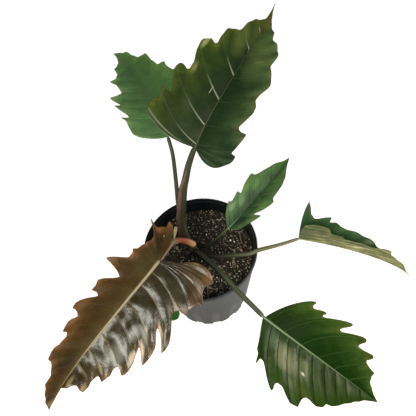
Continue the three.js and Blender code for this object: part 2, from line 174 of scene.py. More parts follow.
# Where each leaf stands. rib is the curve of its midrib, up its upper side at the stalk and the tip,
# and ripple the height in mm of the waves along its margin. A half rises from the midrib by fold
# degrees and curls by curl degrees a mm. Its side veins leave the midrib at an angle that runs from
# veins[0] at the stalk to veins[1] at the tip, and turn forward by bend degrees a mm; veinLines are
# their stations. pleat and crease are mm of relief between them, round is how far the margin is
# smoothed, and skew how far the vein lines lean.
# A margin is points of station and reach: a station from 0 up is the distance in mm along the midrib
# where a vein leaves it, one below 0 the angle in degrees by which a vein is turned back round the
# stalk, and the reach is the distance in mm along that vein. A third value shifts the end of the vein
# by that much of a station.
leafShapes = {
    "tall": {
        "rib": [(19, 47, 290), (40, 77, 312), (119, 146, 334), (158, 216, 325)],
        "up": [(0.15, -0.4, 0.9), (0.25, -0.3, 0.9)],
        "ripple": 1.6,
        "right": {
            "veins": (84, 36), "bend": 0.45, "fold": 8, "curl": -0.15, "round": 0.8, "pleat": 0.6,
            "veinLines": (-22, 4, 28, 60, 94, 128, 160),
            "margin": [
                (-58, 0), (-55, 14), (-50, 25), (-42, 33), (-31, 39), (-20, 46), (-8, 48), (-3, 43),
                (4, 46), (17, 51), (22, 52), (24, 45), (31, 39), (38, 43), (48, 48), (54, 48), (63, 43),
                (70, 45), (78, 53), (90, 50), (108, 41), (118, 45), (133, 39), (153, 24), (161, 22),
                (175, 13), (206, 3), (225, 0),
            ],
        },
        "left": {
            "veins": (76, 30), "bend": 0.35, "fold": 12, "curl": -0.1, "round": 0.8, "pleat": 1.1,
            "veinLines": (-15, 4, 28, 63, 98, 138, 168),
            "margin": [
                (-20, 0), (-18, 20), (-17, 40), (-16, 63), (-10, 72), (-4, 72), (0, 69), (5, 71), (8, 73),
                (11, 65), (14, 58), (20, 66), (25, 72), (31, 74), (38, 68), (40, 60), (43, 57), (50, 58),
                (58, 67), (66, 70), (74, 66), (81, 60), (84, 51), (88, 48), (96, 51), (108, 50), (118, 43),
                (129, 32), (140, 30), (154, 26), (171, 15), (190, 3), (206, 1), (225, 0),
            ],
        },
    },
    "back": {
        "rib": [(-10, 110, 242), (-19, 141, 262), (-34, 214, 266), (-61, 271, 250)],
        "up": [(-0.05, -0.2, 0.97), (-0.2, -0.15, 0.97)],
        "ripple": 1.4,
        "right": {
            "veins": (80, 45), "bend": 0.5, "fold": 4, "curl": -0.1, "round": 0.5, "pleat": 0.7,
            "veinLines": (-2, 22, 44, 66, 90, 115),
            "margin": [
                (-16, 0), (-13, 24), (-8, 42), (0, 54), (5, 49), (16, 60), (24, 68), (30, 60), (36, 63),
                (42, 71), (47, 60), (60, 54), (64, 57), (71, 51), (75, 43), (88, 41), (98, 42), (109, 34),
                (116, 25), (127, 22), (140, 19), (158, 8), (173, 0),
            ],
        },
        "left": {
            "veins": (80, 45), "bend": 0.6, "fold": 0, "curl": -0.1, "round": 0.3, "pleat": 0.7,
            "veinLines": (8, 29, 48, 62, 82, 99, 120),
            "margin": [
                (-2, 0), (0, 15), (2, 34), (6, 43), (18, 45), (25, 45), (29, 53), (31, 38), (36, 40),
                (48, 55), (50, 42), (62, 58), (67, 43), (75, 32), (90, 34), (99, 43), (104, 28), (116, 22),
                (127, 21), (143, 7), (158, 2), (173, 0),
            ],
        },
    },
    "caramel": {
        "rib": [(-53, -43, 205), (-97, -86, 206), (-185, -134, 165), (-225, -156, 100)],
        "up": [(-0.05, -0.5, 0.85), (-0.15, -0.6, 0.8)],
        "ripple": 1.2,
        "right": {
            "veins": (95, 50), "bend": 0.55, "fold": 36, "curl": -0.25, "round": 0.3, "pleat": 1,
            "veinLines": (-46, -18, 5, 24, 47, 71, 98, 128, 158),
            "margin": [
                (-92, 0), (-90, 20), (-86, 35), (-83, 43), (-79, 47), (-72, 52), (-69, 44), (-61, 43),
                (-52, 42), (-47, 46), (-46, 58), (-44, 51), (-42, 39), (-38, 32), (-28, 29), (-12, 30),
                (0, 32), (4, 33), (5, 38), (9, 35), (15, 35), (17, 41), (18, 50), (20, 59), (25, 49),
                (32, 35), (37, 28), (40, 35), (42, 44), (44, 48), (51, 46), (56, 47), (57, 40), (62, 34),
                (64, 44), (67, 51), (70, 54), (76, 53), (77, 49), (82, 43), (87, 40), (89, 45), (92, 47),
                (98, 46), (104, 45), (105, 40), (111, 37), (116, 38), (121, 39), (122, 42), (129, 43),
                (138, 41), (143, 36), (159, 27), (169, 24), (178, 25), (198, 18), (219, 10), (239, 0),
            ],
        },
        "left": {
            "veins": (92, 60), "bend": 0.68, "fold": 2, "curl": -0.1, "round": 0.3, "pleat": 1.3,
            "crease": 3.2, "veinLines": (-42, -35, -28, -21, -13, -3, 14, 33, 57, 80, 105, 130, 152),
            "margin": [
                (-44, 0), (-43.8, 12), (-43.6, 27, 1.5), (-43.4, 42, -8), (-43, 52, -9), (-42.6, 64, -7),
                (-42.3, 70, -3), (-42, 75), (-36, 70), (-30, 65), (-24, 67), (-20, 76), (-17, 78),
                (-15, 71), (-7, 69), (-2, 69), (0, 74), (8, 61), (18, 55), (20, 57), (22, 70), (23, 79),
                (24, 85), (29, 89), (36, 88), (37, 72), (39, 60), (40.5, 53), (42.7, 54), (44.4, 62),
                (45.4, 71), (51, 76), (58, 78), (64, 77), (67, 75), (67.4, 64), (68, 55), (69.4, 51),
                (73, 53), (77, 57), (81, 62), (86, 64), (94, 65), (101, 61), (102, 54), (103.5, 48),
                (108, 45), (112, 44), (118, 47), (124, 45), (129, 44), (134.5, 43), (135, 36), (138, 32),
                (142, 31), (147, 30), (156, 32), (166, 30), (170, 24), (173, 17), (179, 12), (188, 7),
                (195, 1), (215, 1), (239, 0),
            ],
        },
    },
    "front": {
        "rib": [(55, -123, 165), (88, -167, 166), (126, -201, 140), (167, -233, 95)],
        "up": [(0.05, -0.45, 0.9), (0.05, -0.5, 0.87)],
        "ripple": 1.2,
        "right": {
            "veins": (66, 42), "bend": 0.3, "fold": 10, "curl": -0.1, "round": 0.6, "pleat": 2.2,
            "skew": 0.1, "veinLines": (-1, 14, 26, 38, 53, 71, 88, 104, 120, 143),
            "margin": [
                (-0.5, 0), (0, 11, 1.4), (0.3, 23, 0.6), (0.6, 34, -3), (0.9, 39, -5), (1.2, 42, -2.2),
                (1.5, 47, -4), (1.8, 54, -6.8), (2.1, 55, -6), (2.4, 48, -1.6), (4, 48), (6, 53),
                (6.4, 64), (7, 74), (9, 78), (12, 74), (15, 67), (19, 63), (24, 64), (26, 72), (29, 80),
                (37, 79), (41, 73), (47, 65), (54, 59), (58, 60), (64, 63), (74, 59), (81, 51), (89, 50),
                (98, 44), (116, 32), (135, 20), (154, 9), (176, 0),
            ],
        },
        "left": {
            "veins": (74, 46), "bend": 0.6, "fold": 14, "curl": -0.1, "round": 0.4, "pleat": 0.7,
            "veinLines": (8, 30, 54, 79, 101, 124),
            "margin": [
                (2, 0), (2.4, 10, 0.8), (2.8, 24), (3.2, 38, -0.8), (3.6, 52, -2.2), (4, 62, -2.8),
                (4.5, 65, -2), (5.2, 62), (9, 55), (13, 53), (15, 59), (17, 62), (20, 61), (23, 53),
                (26, 53), (27, 63), (27.6, 79), (30, 81), (35, 76), (38, 70), (42, 58), (44, 54),
                (47.6, 54), (48.6, 68), (49.6, 78), (53, 78), (59, 73), (66, 58), (70, 54), (76, 56),
                (82, 62), (87, 58), (91, 53), (94, 46), (100, 41), (108, 38), (118, 37), (124, 28),
                (140, 16), (160, 6), (176, 0),
            ],
        },
    },
    "side": {
        "rib": [(122, -38, 175), (162, -58, 180), (232, -92, 165), (248, -102, 135)],
        "up": [(0.1, 0, 1), (0.1, 0, 1)],
        "ripple": 1,
        "right": {
            "veins": (62, 40), "bend": 0.3, "fold": 98, "curl": 0, "round": 0.5, "pleat": 0.6,
            "veinLines": (4, 22, 42, 62, 84, 106),
            "margin": [
                (-22, 0), (-19, 18), (-15, 29), (-4, 37), (11, 37), (23, 25), (33, 26), (41, 20), (51, 22),
                (66, 22), (74, 24), (84, 30), (97, 19), (111, 16), (126, 10), (140, 2), (152, 0),
            ],
        },
        "left": {
            "veins": (62, 40), "bend": 0.3, "fold": 28, "curl": 0, "round": 0.4, "pleat": 0.6,
            "veinLines": (4, 22, 42, 62, 84, 106),
            "margin": [
                (-33, 0), (-31, 30), (-29, 49), (-15, 34), (-5, 32), (5, 38), (11, 41), (14, 33), (19, 36),
                (30, 30), (41, 30), (51, 29), (74, 24), (84, 17), (97, 15), (111, 12), (126, 6), (140, 2),
                (152, 0),
            ],
        },
    },
    "young": {
        "rib": [(41, 5, 163), (73, 19, 180), (108, 40, 194), (139, 68, 200)],
        "up": [(-0.05, -0.45, 0.9), (-0.05, -0.45, 0.9)],
        "ripple": 0.8,
        "right": {
            "veins": (52, 32), "bend": 0.4, "fold": 14, "curl": -0.1, "round": 0.7, "pleat": 0.6,
            "veinLines": (2, 20, 38, 56, 76),
            "margin": [
                (-20, 0), (-8, 9), (5, 19), (20, 29), (24, 16), (30, 26), (38, 32), (47, 26), (66, 25),
                (81, 20), (100, 10), (123, 0),
            ],
        },
        "left": {
            "veins": (52, 32), "bend": 0.2, "fold": 14, "curl": -0.1, "round": 0.7, "pleat": 0.6,
            "veinLines": (4, 20, 40, 60, 82),
            "margin": [
                (-20, 0), (-4, 20), (4, 33), (9, 29), (19, 35), (25, 28), (31, 36), (42, 41), (49, 34),
                (64, 28), (90, 18), (108, 7), (123, 0),
            ],
        },
    },
    "low": {
        "rib": [(-49, -73, 146), (-71, -73, 148), (-98, -70, 138), (-124, -67, 122)],
        "up": [(-0.1, -0.3, 0.95), (-0.1, -0.3, 0.95)],
        "ripple": 0.6,
        "right": {
            "veins": (70, 40), "bend": 0.3, "fold": 8, "curl": -0.1, "round": 0.6, "pleat": 0.5,
            "veinLines": (4, 20, 36, 52),
            "margin": [
                (-24, 0), (-16, 13), (4, 17), (9, 14), (22, 19), (29, 15), (45, 14), (54, 10), (70, 4),
                (81, 0),
            ],
        },
        "left": {
            "veins": (70, 40), "bend": 0.3, "fold": 8, "curl": -0.1, "round": 0.6, "pleat": 0.5,
            "veinLines": (-30, 4, 20, 36, 52),
            "margin": [
                (-64, 0), (-50, 15), (-32, 21), (-12, 22), (4, 20), (9, 15), (22, 19), (29, 15), (45, 14),
                (54, 10), (70, 4), (81, 0),
            ],
        },
    },
}


class Midrib:
    # Points and directions along a leaf's midrib, by the share of its length
    def __init__(self, shape):
        self.up = [Vector(up) for up in shape["up"]]
        self.points = interpolate_bezier(*[Vector(point) for point in shape["rib"]], 241)
        self.marks = [0]
        for a, b in zip(self.points, self.points[1:]):
            self.marks.append(self.marks[-1] + (b - a).length)
        self.length = self.marks[-1]

    def at(self, share):
        goal = clamp(share) * self.length
        low, high = 0, len(self.marks) - 1
        while high - low > 1:
            middle = (low + high) // 2
            low, high = (middle, high) if self.marks[middle] <= goal else (low, middle)
        step = self.marks[high] - self.marks[low]
        point = self.points[low].lerp(self.points[high], (goal - self.marks[low]) / step)
        before, after = self.points[max(low - 1, 0)], self.points[min(high + 1, len(self.points) - 1)]
        tangent = (after - before).normalized()
        up = self.up[0].lerp(self.up[1], clamp(share))
        right = tangent.cross(up).normalized()
        return point, tangent, right, right.cross(tangent)


def marginReach(half, station):
    margin = half["margin"]
    if station <= margin[0][0] or station >= margin[-1][0]:
        return 0
    k = next(i for i, point in enumerate(margin) if point[0] >= station)
    (x0, y0), (x1, y1) = margin[k - 1][:2], margin[k][:2]
    slope = (y1 - y0) / (x1 - x0)
    before = slope if k < 2 else (y0 - margin[k - 2][1]) / (x0 - margin[k - 2][0])
    after = slope if k + 1 >= len(margin) else (margin[k + 1][1] - y1) / (margin[k + 1][0] - x1)
    startSlope = 0 if before * slope <= 0 else 2 * before * slope / (before + slope)
    endSlope = 0 if after * slope <= 0 else 2 * after * slope / (after + slope)
    t, span = (station - x0) / (x1 - x0), x1 - x0
    curved = (
        (2 * t**3 - 3 * t**2 + 1) * y0 + (t**3 - 2 * t**2 + t) * span * startSlope
        + (3 * t**2 - 2 * t**3) * y1 + (t**3 - t**2) * span * endSlope
    )
    return blend(y0 + slope * (station - x0), curved, half["round"])


def marginShift(half, station):
    for a, b in zip(half["margin"], half["margin"][1:]):
        if a[0] <= station <= b[0]:
            return blend((*a, 0)[2], (*b, 0)[2], (station - a[0]) / (b[0] - a[0]))
    return 0


def veinPhase(half, station, reach):
    # a whole number on each side vein; skew is mm that the vein lines lean to the stalk for a mm of reach
    lines = [half["margin"][0][0] - 5, *half["veinLines"], half["margin"][-1][0] + 5]
    place = station + half.get("skew", 0) * reach
    for k, (a, b) in enumerate(zip(lines, lines[1:])):
        if a <= place <= b:
            return k + (place - a) / (b - a)
    return 0


# Relief of a blade between its veins and along its margin
relief = {
    "rippleTurn": 0.32,  # radians of ripple for each mm of station
    "rippleReach": 20, "pleatReach": 9, "creaseReach": 12,  # mm from the midrib at which each is full
    "pleatLost": 0.45,  # share of the pleats that is gone at the margin
    "creaseScale": (0.07, 0.055),  # of the noise for each mm of station and of reach
    "crease": 0.5,  # mm, where a half gives none
}


def leafPoint(shape, rib, side, station, reach, share):
    half = shape["right"] if side > 0 else shape["left"]
    root = max(station, 0)
    angle = half["veins"][0] - station if station < 0 else blend(*half["veins"], root / rib.length)
    start, turn = math.radians(angle), math.radians(half["bend"])
    end = start - turn * reach
    along = root + (math.sin(start) - math.sin(end)) / turn
    away = (math.cos(end) - math.cos(start)) / turn
    point, tangent, right, normal = rib.at(along / rib.length)
    fold, curl = math.radians(half["fold"]), math.radians(half["curl"])
    bent = fold + curl * away
    across = (math.sin(bent) - math.sin(fold)) / curl if curl else away * math.cos(fold)
    rise = (math.cos(fold) - math.cos(bent)) / curl if curl else away * math.sin(fold)
    waves = math.sin(station * relief["rippleTurn"] + side)
    wave = shape["ripple"] * share**3 * clamp(reach / relief["rippleReach"]) * waves
    puff = abs(math.sin(math.pi * veinPhase(half, station, reach))) ** 0.8
    left = 1 - relief["pleatLost"] * share
    lift = half["pleat"] * (puff - 0.5) * smooth(reach / relief["pleatReach"]) * left
    alongScale, acrossScale = relief["creaseScale"]
    spot = Vector((station * alongScale, reach * acrossScale, side * 9 + rib.length))
    crease = half.get("crease", relief["crease"]) * noise.noise(spot) * smooth(reach / relief["creaseReach"])
    offset = normal * math.cos(bent) - right * side * math.sin(bent)
    return (
        point + tangent * min(along, 0) + right * (side * across) + normal * (rise + wave)
        + offset * (lift + crease)
    )


bladeGrid = {
    "columnGap": 2.1,  # mm between columns along the midrib
    "nearRib": (0.8, 1.8, 3.2),  # mm from the midrib
    "shares": (0.1, 0.19, 0.29, 0.39, 0.5, 0.6, 0.7, 0.79, 0.87, 0.94, 1),  # of the reach
    "thickness": 0.7,
    "merge": 0.001,  # mm, so only points at one place merge: a wider reach leaves open edges at the tips
}


def bladeStations(shape):
    keys = set()
    for half in (shape["right"], shape["left"]):
        keys.update(point[0] for point in half["margin"])
        keys.update(half["veinLines"])
    keys = sorted(keys)
    stations = [keys[0]]
    for key in keys[1:]:
        start, steps = stations[-1], math.ceil((key - stations[-1]) / bladeGrid["columnGap"])
        stations.extend(start + (key - start) * step / steps for step in range(1, steps + 1))
    return stations


def makeBlade(name, shape, materials):
    rib = Midrib(shape)
    stations = bladeStations(shape)
    near, shares = bladeGrid["nearRib"], bladeGrid["shares"]
    perSide = len(near) + len(shares)
    bm = bmesh.new()
    bmesh.ops.create_grid(bm, x_segments=len(stations) - 1, y_segments=2 * perSide, size=1)
    # station and reach in units of 100 mm, the left half negative; reach as a share, and distance from the
    # margin in 100 mm; a whole number on each side vein, and the station as the veins lean
    layers = ("leafPlace", "leafSizes", "leafVeins")
    place, sizes, veins = [bm.loops.layers.uv.new(layer) for layer in layers]
    data = {}
    for vertex in bm.verts:
        column = round((vertex.co.x + 1) / 2 * (len(stations) - 1))
        row = round((vertex.co.y + 1) * perSide)
        side, step = (-1 if row < perSide else 1), abs(row - perSide)
        half = shape["right"] if side > 0 else shape["left"]
        edge = marginReach(half, stations[column])
        inner = [min(reach, 0.25 * edge * (k + 1) / len(near)) for k, reach in enumerate(near)]
        reaches = [0, *inner, *[max(inner[-1] + 0.02 * edge, edge * share) for share in shares]]
        reach = reaches[step]
        share = reach / edge if edge > 0 else 0
        station = stations[column] + marginShift(half, stations[column]) * share**6
        leaning = (station + half.get("skew", 0) * reach) / 100
        data[vertex] = (
            station / 100, side * reach / 100, share, (edge - reach) / 100,
            veinPhase(half, station, reach), leaning,
        )
        vertex.co = leafPoint(shape, rib, side, station, reach, share) * mm
    for face in bm.faces:
        for loop in face.loops:
            loop[place].uv = data[loop.vert][:2]
            loop[sizes].uv = data[loop.vert][2:4]
            loop[veins].uv = data[loop.vert][4:]
    bmesh.ops.remove_doubles(bm, verts=bm.verts, dist=bladeGrid["merge"] * mm)
    bmesh.ops.dissolve_degenerate(bm, edges=bm.edges, dist=bladeGrid["merge"] * mm)
    bm.normal_update()
    middle = rib.at(0.4)[3]
    if sum(face.normal.dot(middle) * face.calc_area() for face in bm.faces) < 0:
        bmesh.ops.reverse_faces(bm, faces=bm.faces)
    modifiers = [
        ("SOLIDIFY", {"thickness": bladeGrid["thickness"] * mm, "offset": 0, "material_offset": 1}),
        ("SUBSURF", {"levels": 1, "render_levels": 1}),
    ]
    return finishPiece(name + "_blade", bm, materials, name + "_leaf", modifiers)


# Colours across each half run from the midrib to the margin, with darker patches between. The vein
# colour, veinShow, veinWidth and gloss hold the left and right half: the colour of the side veins, which
# on the tall leaf's left half is a painted glint and on the front leaf's right half painted shade in the
# pleat grooves, how clearly they show, their half width as a share of the space between two, and how
# much the skin shines. veinSpan is the shares of the reach between which the veins fade, and glossFade
# the same for the shine, with what is left of it. tipFrom is the share of the length at which the tip's
# colour begins. under is the underside from dark to light. A spot is a soft patch of colour, and some are
# painted highlights and sheen: station, reach (left half negative), half length and width in mm, colour
# and strength. A dull one takes shine away by its strength.
plainUnder = ("#4f6a3c", "#65804f", "#769260", "#8fa878")
leafLooks = {
    "tall": {
        "left": [
            (0, "#1e2d18"), (0.3, "#22381a"), (0.55, "#2b401a"), (0.75, "#364a1c"), (0.9, "#46581f"),
            (1, "#5a6828"),
        ],
        "right": [
            (0, "#1e3019"), (0.3, "#20351e"), (0.5, "#2a4124"), (0.7, "#395030"), (0.85, "#4c613b"),
            (1, "#5c6a44"),
        ],
        "patch": "#1d2f17", "patchAmount": 0.3, "edge": "#4a3a18", "tip": "#6f6a2c", "tipFrom": 0.88,
        # the tall leaf's pale left vein colour is a painted glint along the veins near the midrib
        "vein": ("#b2bda6", "#8c9a84"), "veinShow": (0.85, 0.08), "veinWidth": (0.04, 0.03),
        "veinSpan": (0.08, 0.5), "under": ("#3f4d2c", "#55643d", "#66764b", "#80906a"),
        "rib": [(0, "#42523a"), (0.4, "#374a2e"), (1, "#3a4420")],
        "ribRadius": 1.3, "ribTaper": 0.8, "gloss": (0.22, 0.08), "roughness": 0.34, "wrinkle": 0.3,
        "spotsAndHighlights": [
            (12, -52, 24, 22, "#1d3016", 0.6), (122, 24, 36, 22, "#5a7040", 0.7),
            (150, 14, 26, 22, "#566f3c", 0.7), (188, 6, 24, 12, "#6c6f33", 0.9),
            (132, -22, 26, 18, "#5c7034", 0.75), (168, -8, 24, 12, "#526026", 0.85),
            (50, -53, 7, 5, "#868c52", 0.9), (73, -64, 10, 5, "#a9b478", 0.95),
            # the pale fleck at station 59 is a painted glint
            (59, -16, 6, 0.7, "#b4bea6", 0.9), (25, -33, 9, 10, "#405038", 0.5),
            (116, 22, 1, 7, "#74855c", 0.6), (-16, -58, 5, 16, "#445942", 0.7),
            (200, 4, 22, 3, "#6a5a28", 0.8), (-10, 36, 50, 34, "#263a25", 0.95),
            (-46, 22, 20, 24, "#263a25", 0.9), (-17.5, -42, 1.6, 40, "#98a890", 0.95),
            (-14, -42, 0.9, 36, "#2a3a24", 0.8), (-12, -44, 0.9, 34, "#80907a", 0.8),
        ],
    },
    "back": {
        "left": [(0, "#4c7144"), (0.3, "#507a49"), (0.6, "#568250"), (0.85, "#688f58"), (1, "#7a9a66")],
        "right": [(0, "#4a7042"), (0.3, "#4c7742"), (0.55, "#528044"), (0.8, "#62904a"), (1, "#719c52")],
        "patch": "#44693a", "patchAmount": 0.35, "edge": "#8a9a68", "tip": "#6d9854", "tipFrom": 0.75,
        "vein": ("#6d8f5c", "#6d8f5c"), "veinShow": (0.25, 0.2), "veinSpan": (0.5, 1), "under": plainUnder,
        "rib": [(0, "#56784a"), (0.5, "#48693e"), (1, "#4a6e40")],
        "ribRadius": 1, "ribTaper": 0.7, "gloss": (0.3, 0.3), "roughness": 0.45, "wrinkle": 0.2,
    },
    "caramel": {
        "left": [(0, "#322b12"), (0.5, "#2c270f"), (0.8, "#392f16"), (0.93, "#55442a"), (1, "#7a6242")],
        "right": [
            (0, "#5a5034"), (0.15, "#473d20"), (0.45, "#3c2f16"), (0.75, "#46351c"), (0.92, "#5e4324"),
            (1, "#76522f"),
        ],
        "patch": "#2c220c", "patchAmount": 0.4, "edge": "#5c3c28", "tip": "#5a4a1c", "tipFrom": 0.92,
        "vein": ("#8a7e5c", "#5c5232"), "veinShow": (0.5, 0.25), "veinWidth": (0.05, 0.03),
        "veinSpan": (0.6, 1), "under": ("#5c3f2a", "#7a5639", "#8f6a4a", "#a98868"),
        "rib": [(0, "#aca28a"), (0.3, "#a0967c"), (0.55, "#98896c"), (0.8, "#766844"), (1, "#503f1e")],
        "ribRadius": 2.6, "ribTaper": 0.9, "gloss": (0.85, 0.15), "glossTint": "#dfe9ee",
        "roughness": 0.24, "wrinkle": 0.45,
        "dull": [
            (70, -21, 11, 7, 0.85), (88, -9, 13, 6, 0.85), (80, -42, 4, 6, 0.7), (20, -17, 7, 12, 0.6),
            (35, -26, 6, 8, 0.75), (50, -9, 5, 5, 0.6), (151, -5, 3, 6, 0.9), (160, -12, 6, 7, 0.85),
            (170, -6, 2, 7, 0.8), (140, -17, 7, 8, 0.7), (27, -78, 4, 10, 0.7), (-38, -8, 8, 6, 0.5),
            (-12, -52, 12, 12, 0.5), (8, -24, 7, 12, 0.4), (-36, -56, 14, 22, 0.35),
            (-24, -26, 14, 12, 0.4), (-58, 26, 26, 36, 0.9), (73, -7, 9, 9, 0.95), (190, 12, 40, 24, 0.8),
            (136, -4, 5, 7, 0.8), (54, -6, 8, 7, 0.6),
        ],
        "spotsAndHighlights": [
            (72, 46, 10, 9, "#654b30", 0.8), (92, 42, 8, 6, "#74563a", 0.8),
            (101, 36, 12, 8, "#5a4220", 0.6), (22, 52, 5, 10, "#7b6450", 0.6),
            (152, 16, 22, 14, "#271c0c", 0.75), (-52, 24, 12, 16, "#241f12", 0.7),
            (-63, 32, 1.8, 1.3, "#c0ae90", 0.7), (-46, 56, 6, 10, "#b98474", 0.8),
            (-66, 50, 8, 7, "#8a5236", 0.7), (10, 14, 34, 12, "#4a4428", 0.5),
            (228, 2, 14, 8, "#7c7a3a", 0.95), (65, -58, 3, 13, "#d0b898", 0.9),
            (82, -54, 6, 9, "#d6c8b2", 0.9), (37.5, -60, 2.8, 14, "#bc9c74", 0.85),
            (129, -30, 3, 11, "#9a8664", 0.8), (104, -54, 4, 8, "#94704a", 0.7),
            (164, -26, 7, 5, "#a08c60", 0.7), (180, -6, 14, 3, "#8f8660", 0.6),
            (-40, -66, 16, 10, "#7a5c40", 0.8), (-30, -50, 20, 30, "#5f4c33", 0.6),
            (-15, -62, 10, 8, "#5c452c", 0.7), (139, -21, 9, 9, "#4a4020", 0.6),
            # the cool grey spots at stations 58 to 112 on the left half are painted sheen
            (50, -73, 8, 4, "#6a5030", 0.7), (70, -33, 11, 9, "#868a86", 0.75),
            (97, -34, 14, 15, "#868880", 0.6), (58, -47, 6, 12, "#8c8c82", 0.75),
            (112, -21, 6, 11, "#7c7c72", 0.7), (-54, 42, 10, 8, "#7a5238", 0.7),
        ],
    },
    "front": {
        "left": [
            (0, "#152c0f"), (0.3, "#19310f"), (0.5, "#243c14"), (0.7, "#304a1c"), (0.88, "#3b5221"),
            (1, "#4f5c2a"),
        ],
        "right": [(0, "#2a4220"), (0.25, "#3a4e28"), (0.5, "#354a20"), (0.7, "#2c4517"), (1, "#28400e")],
        "patch": "#182c0e", "patchAmount": 0.3, "edge": "#5c5c28", "tip": "#4c5a1c", "tipFrom": 0.93,
        # the front leaf's near-black right vein colour is painted shade in the pleat grooves
        "vein": ("#4c6a38", "#0c1a06"), "veinShow": (0.35, 0.95), "veinWidth": (0.04, 0.09),
        "veinSpan": (0.6, 1.1), "under": plainUnder,
        "rib": [(0, "#7a9470"), (0.5, "#647c50"), (1, "#3a5020")],
        "ribRadius": 2.1, "ribTaper": 0.8, "gloss": (0.02, 0.36), "roughness": 0.27, "wrinkle": 0.4,
        "streaks": 0.9, "glossFade": (0.45, 0.8, 0.2), "dull": [(92, 18, 34, 24, 0.6)],
        "spotsAndHighlights": [
            # the near-white spot at station 54.5 is a painted glint, and the pale grey-olive spots at
            # stations 17 to 33 are painted sheen on the pleats
            (60, 24, 6, 14, "#5f6e49", 0.7), (54.5, 31.5, 2.4, 2.4, "#dcdcc8", 0.9),
            (55, 20, 6, 8, "#5c6c44", 0.5), (60, 11, 6, 5, "#1c2e12", 0.7),
            (33, 28, 13, 18, "#868c6a", 0.75), (47, 30, 9, 14, "#6c7650", 0.5),
            (64, 31, 5, 9, "#26340f", 0.6), (100, 18, 8, 10, "#1c2e0c", 0.5),
            (25, 26, 5, 18, "#727c5c", 0.8), (44, 22, 4, 18, "#566444", 0.6),
            (17, 15, 9, 13, "#566c54", 0.7), (3, 30, 5, 26, "#182e15", 0.8),
            (84, 24, 10, 22, "#243418", 0.5), (47, 52, 16, 12, "#465420", 0.6),
            (62, -76, 12, 4, "#6a6a34", 0.6), (93, -47, 6, 4, "#5e6430", 0.6),
            (72, -54, 5, 4, "#5e6430", 0.6), (46, -54, 4, 5, "#4c5a2a", 0.6),
        ],
    },
    "side": {
        "left": [(0, "#254524"), (0.5, "#2f5430"), (0.8, "#335a34"), (1, "#466640")],
        "right": [(0, "#3c5c30"), (0.6, "#3a5a32"), (1, "#4c6a3c")],
        "patch": "#2f5430", "patchAmount": 0.4, "edge": "#3c4a28", "tip": "#74843c", "tipFrom": 0.85,
        "vein": ("#6f8a60", "#6f8a60"), "veinShow": (0.3, 0.2), "veinSpan": (0.5, 1),
        "under": ("#34461f", "#62683e", "#87895f", "#c4c8aa"),
        "rib": [(0, "#94937a"), (0.6, "#8a8962"), (1, "#8f9258")],
        "ribRadius": 1.4, "ribTaper": 0.7, "gloss": (0.12, 0.3), "roughness": 0.4, "wrinkle": 0.3,
        "spotsAndHighlights": [
            (0, -38, 20, 14, "#4f7648", 0.8), (28, -26, 14, 9, "#4a6c40", 0.7),
            (-24, -38, 8, 14, "#3c5236", 0.7), (-29, -47, 4, 5, "#6c7c44", 0.8),
            (70, -20, 7, 5, "#7c8a60", 0.7),
        ],
    },
    "young": {
        "left": [(0, "#203623"), (0.25, "#304c32"), (0.5, "#3e613c"), (0.75, "#4d753f"), (1, "#507641")],
        "right": [(0, "#16301a"), (0.3, "#274528"), (0.5, "#385434"), (0.7, "#46643a"), (1, "#4e6c44")],
        "patch": "#4a6c3c", "patchAmount": 0.4, "edge": "#24401c", "tip": "#3c5a2c", "tipFrom": 0.9,
        "vein": ("#2c4a24", "#2c4a24"), "veinShow": (0.4, 0.35), "veinSpan": (0.4, 1), "under": plainUnder,
        "rib": [(0, "#7c9a7a"), (0.2, "#46684a"), (0.34, "#14290e"), (1, "#1c3314")],
        "ribRadius": 1.4, "ribTaper": 0.6, "ribGloss": 0.1, "gloss": (0.2, 0.15), "roughness": 0.4,
        "wrinkle": 0.6, "streaks": 1,
        "spotsAndHighlights": [
            (-10, -12, 9, 9, "#2c5434", 0.7), (24, 26, 12, 8, "#3c6434", 0.6),
            (78, 12, 24, 12, "#4c6a3c", 0.6), (12, 8, 18, 10, "#173019", 0.7),
            (34, -30, 9, 8, "#668c44", 0.7), (54, -20, 10, 8, "#628a48", 0.6),
            (26, -18, 8, 8, "#7c9a80", 0.5), (10, -22, 8, 6, "#86a68a", 0.5),
            (36, 20, 10, 8, "#55803c", 0.6), (60, -8, 12, 5, "#4c7050", 0.5),
        ],
    },
    "low": {
        "left": [(0, "#3c7034"), (0.6, "#44803c"), (1, "#4f8a44")],
        "right": [(0, "#3c7034"), (0.6, "#44803c"), (1, "#4f8a44")],
        "patch": "#2f6030", "patchAmount": 0.5, "edge": "#5a8a4c", "tip": "#4a8a44", "tipFrom": 0.9,
        "vein": ("#5aa055", "#5aa055"), "veinShow": (0.25, 0.25), "veinSpan": (0.5, 1),
        "under": ("#4a7440", "#5f8a52", "#70985e", "#86ac74"),
        "rib": [(0, "#6a9a5c"), (1, "#5a8a4c")],
        "ribRadius": 1.1, "ribTaper": 0.7, "gloss": (0.3, 0.3), "roughness": 0.45, "wrinkle": 0.2,
    },
}


# Leaf skin: living tissue under a waxy cuticle, so a soft colour with a clear, slightly wrinkled gloss
leafGrain = {
    "mottle": 12, "patches": 26, "wrinkle": 6,  # mm, how large the mottling, darker patches and wrinkles are
    "fineVeins": 2,  # mm between the fine parallel veins
    "streaks": (70, 7, 0),  # how many for 100 mm of the midrib and of a side vein
    "underMottle": 9, "underStreaks": (2.2, 22, 0), "underStops": (0.48, 0.62, 0.72, 0.86),
}


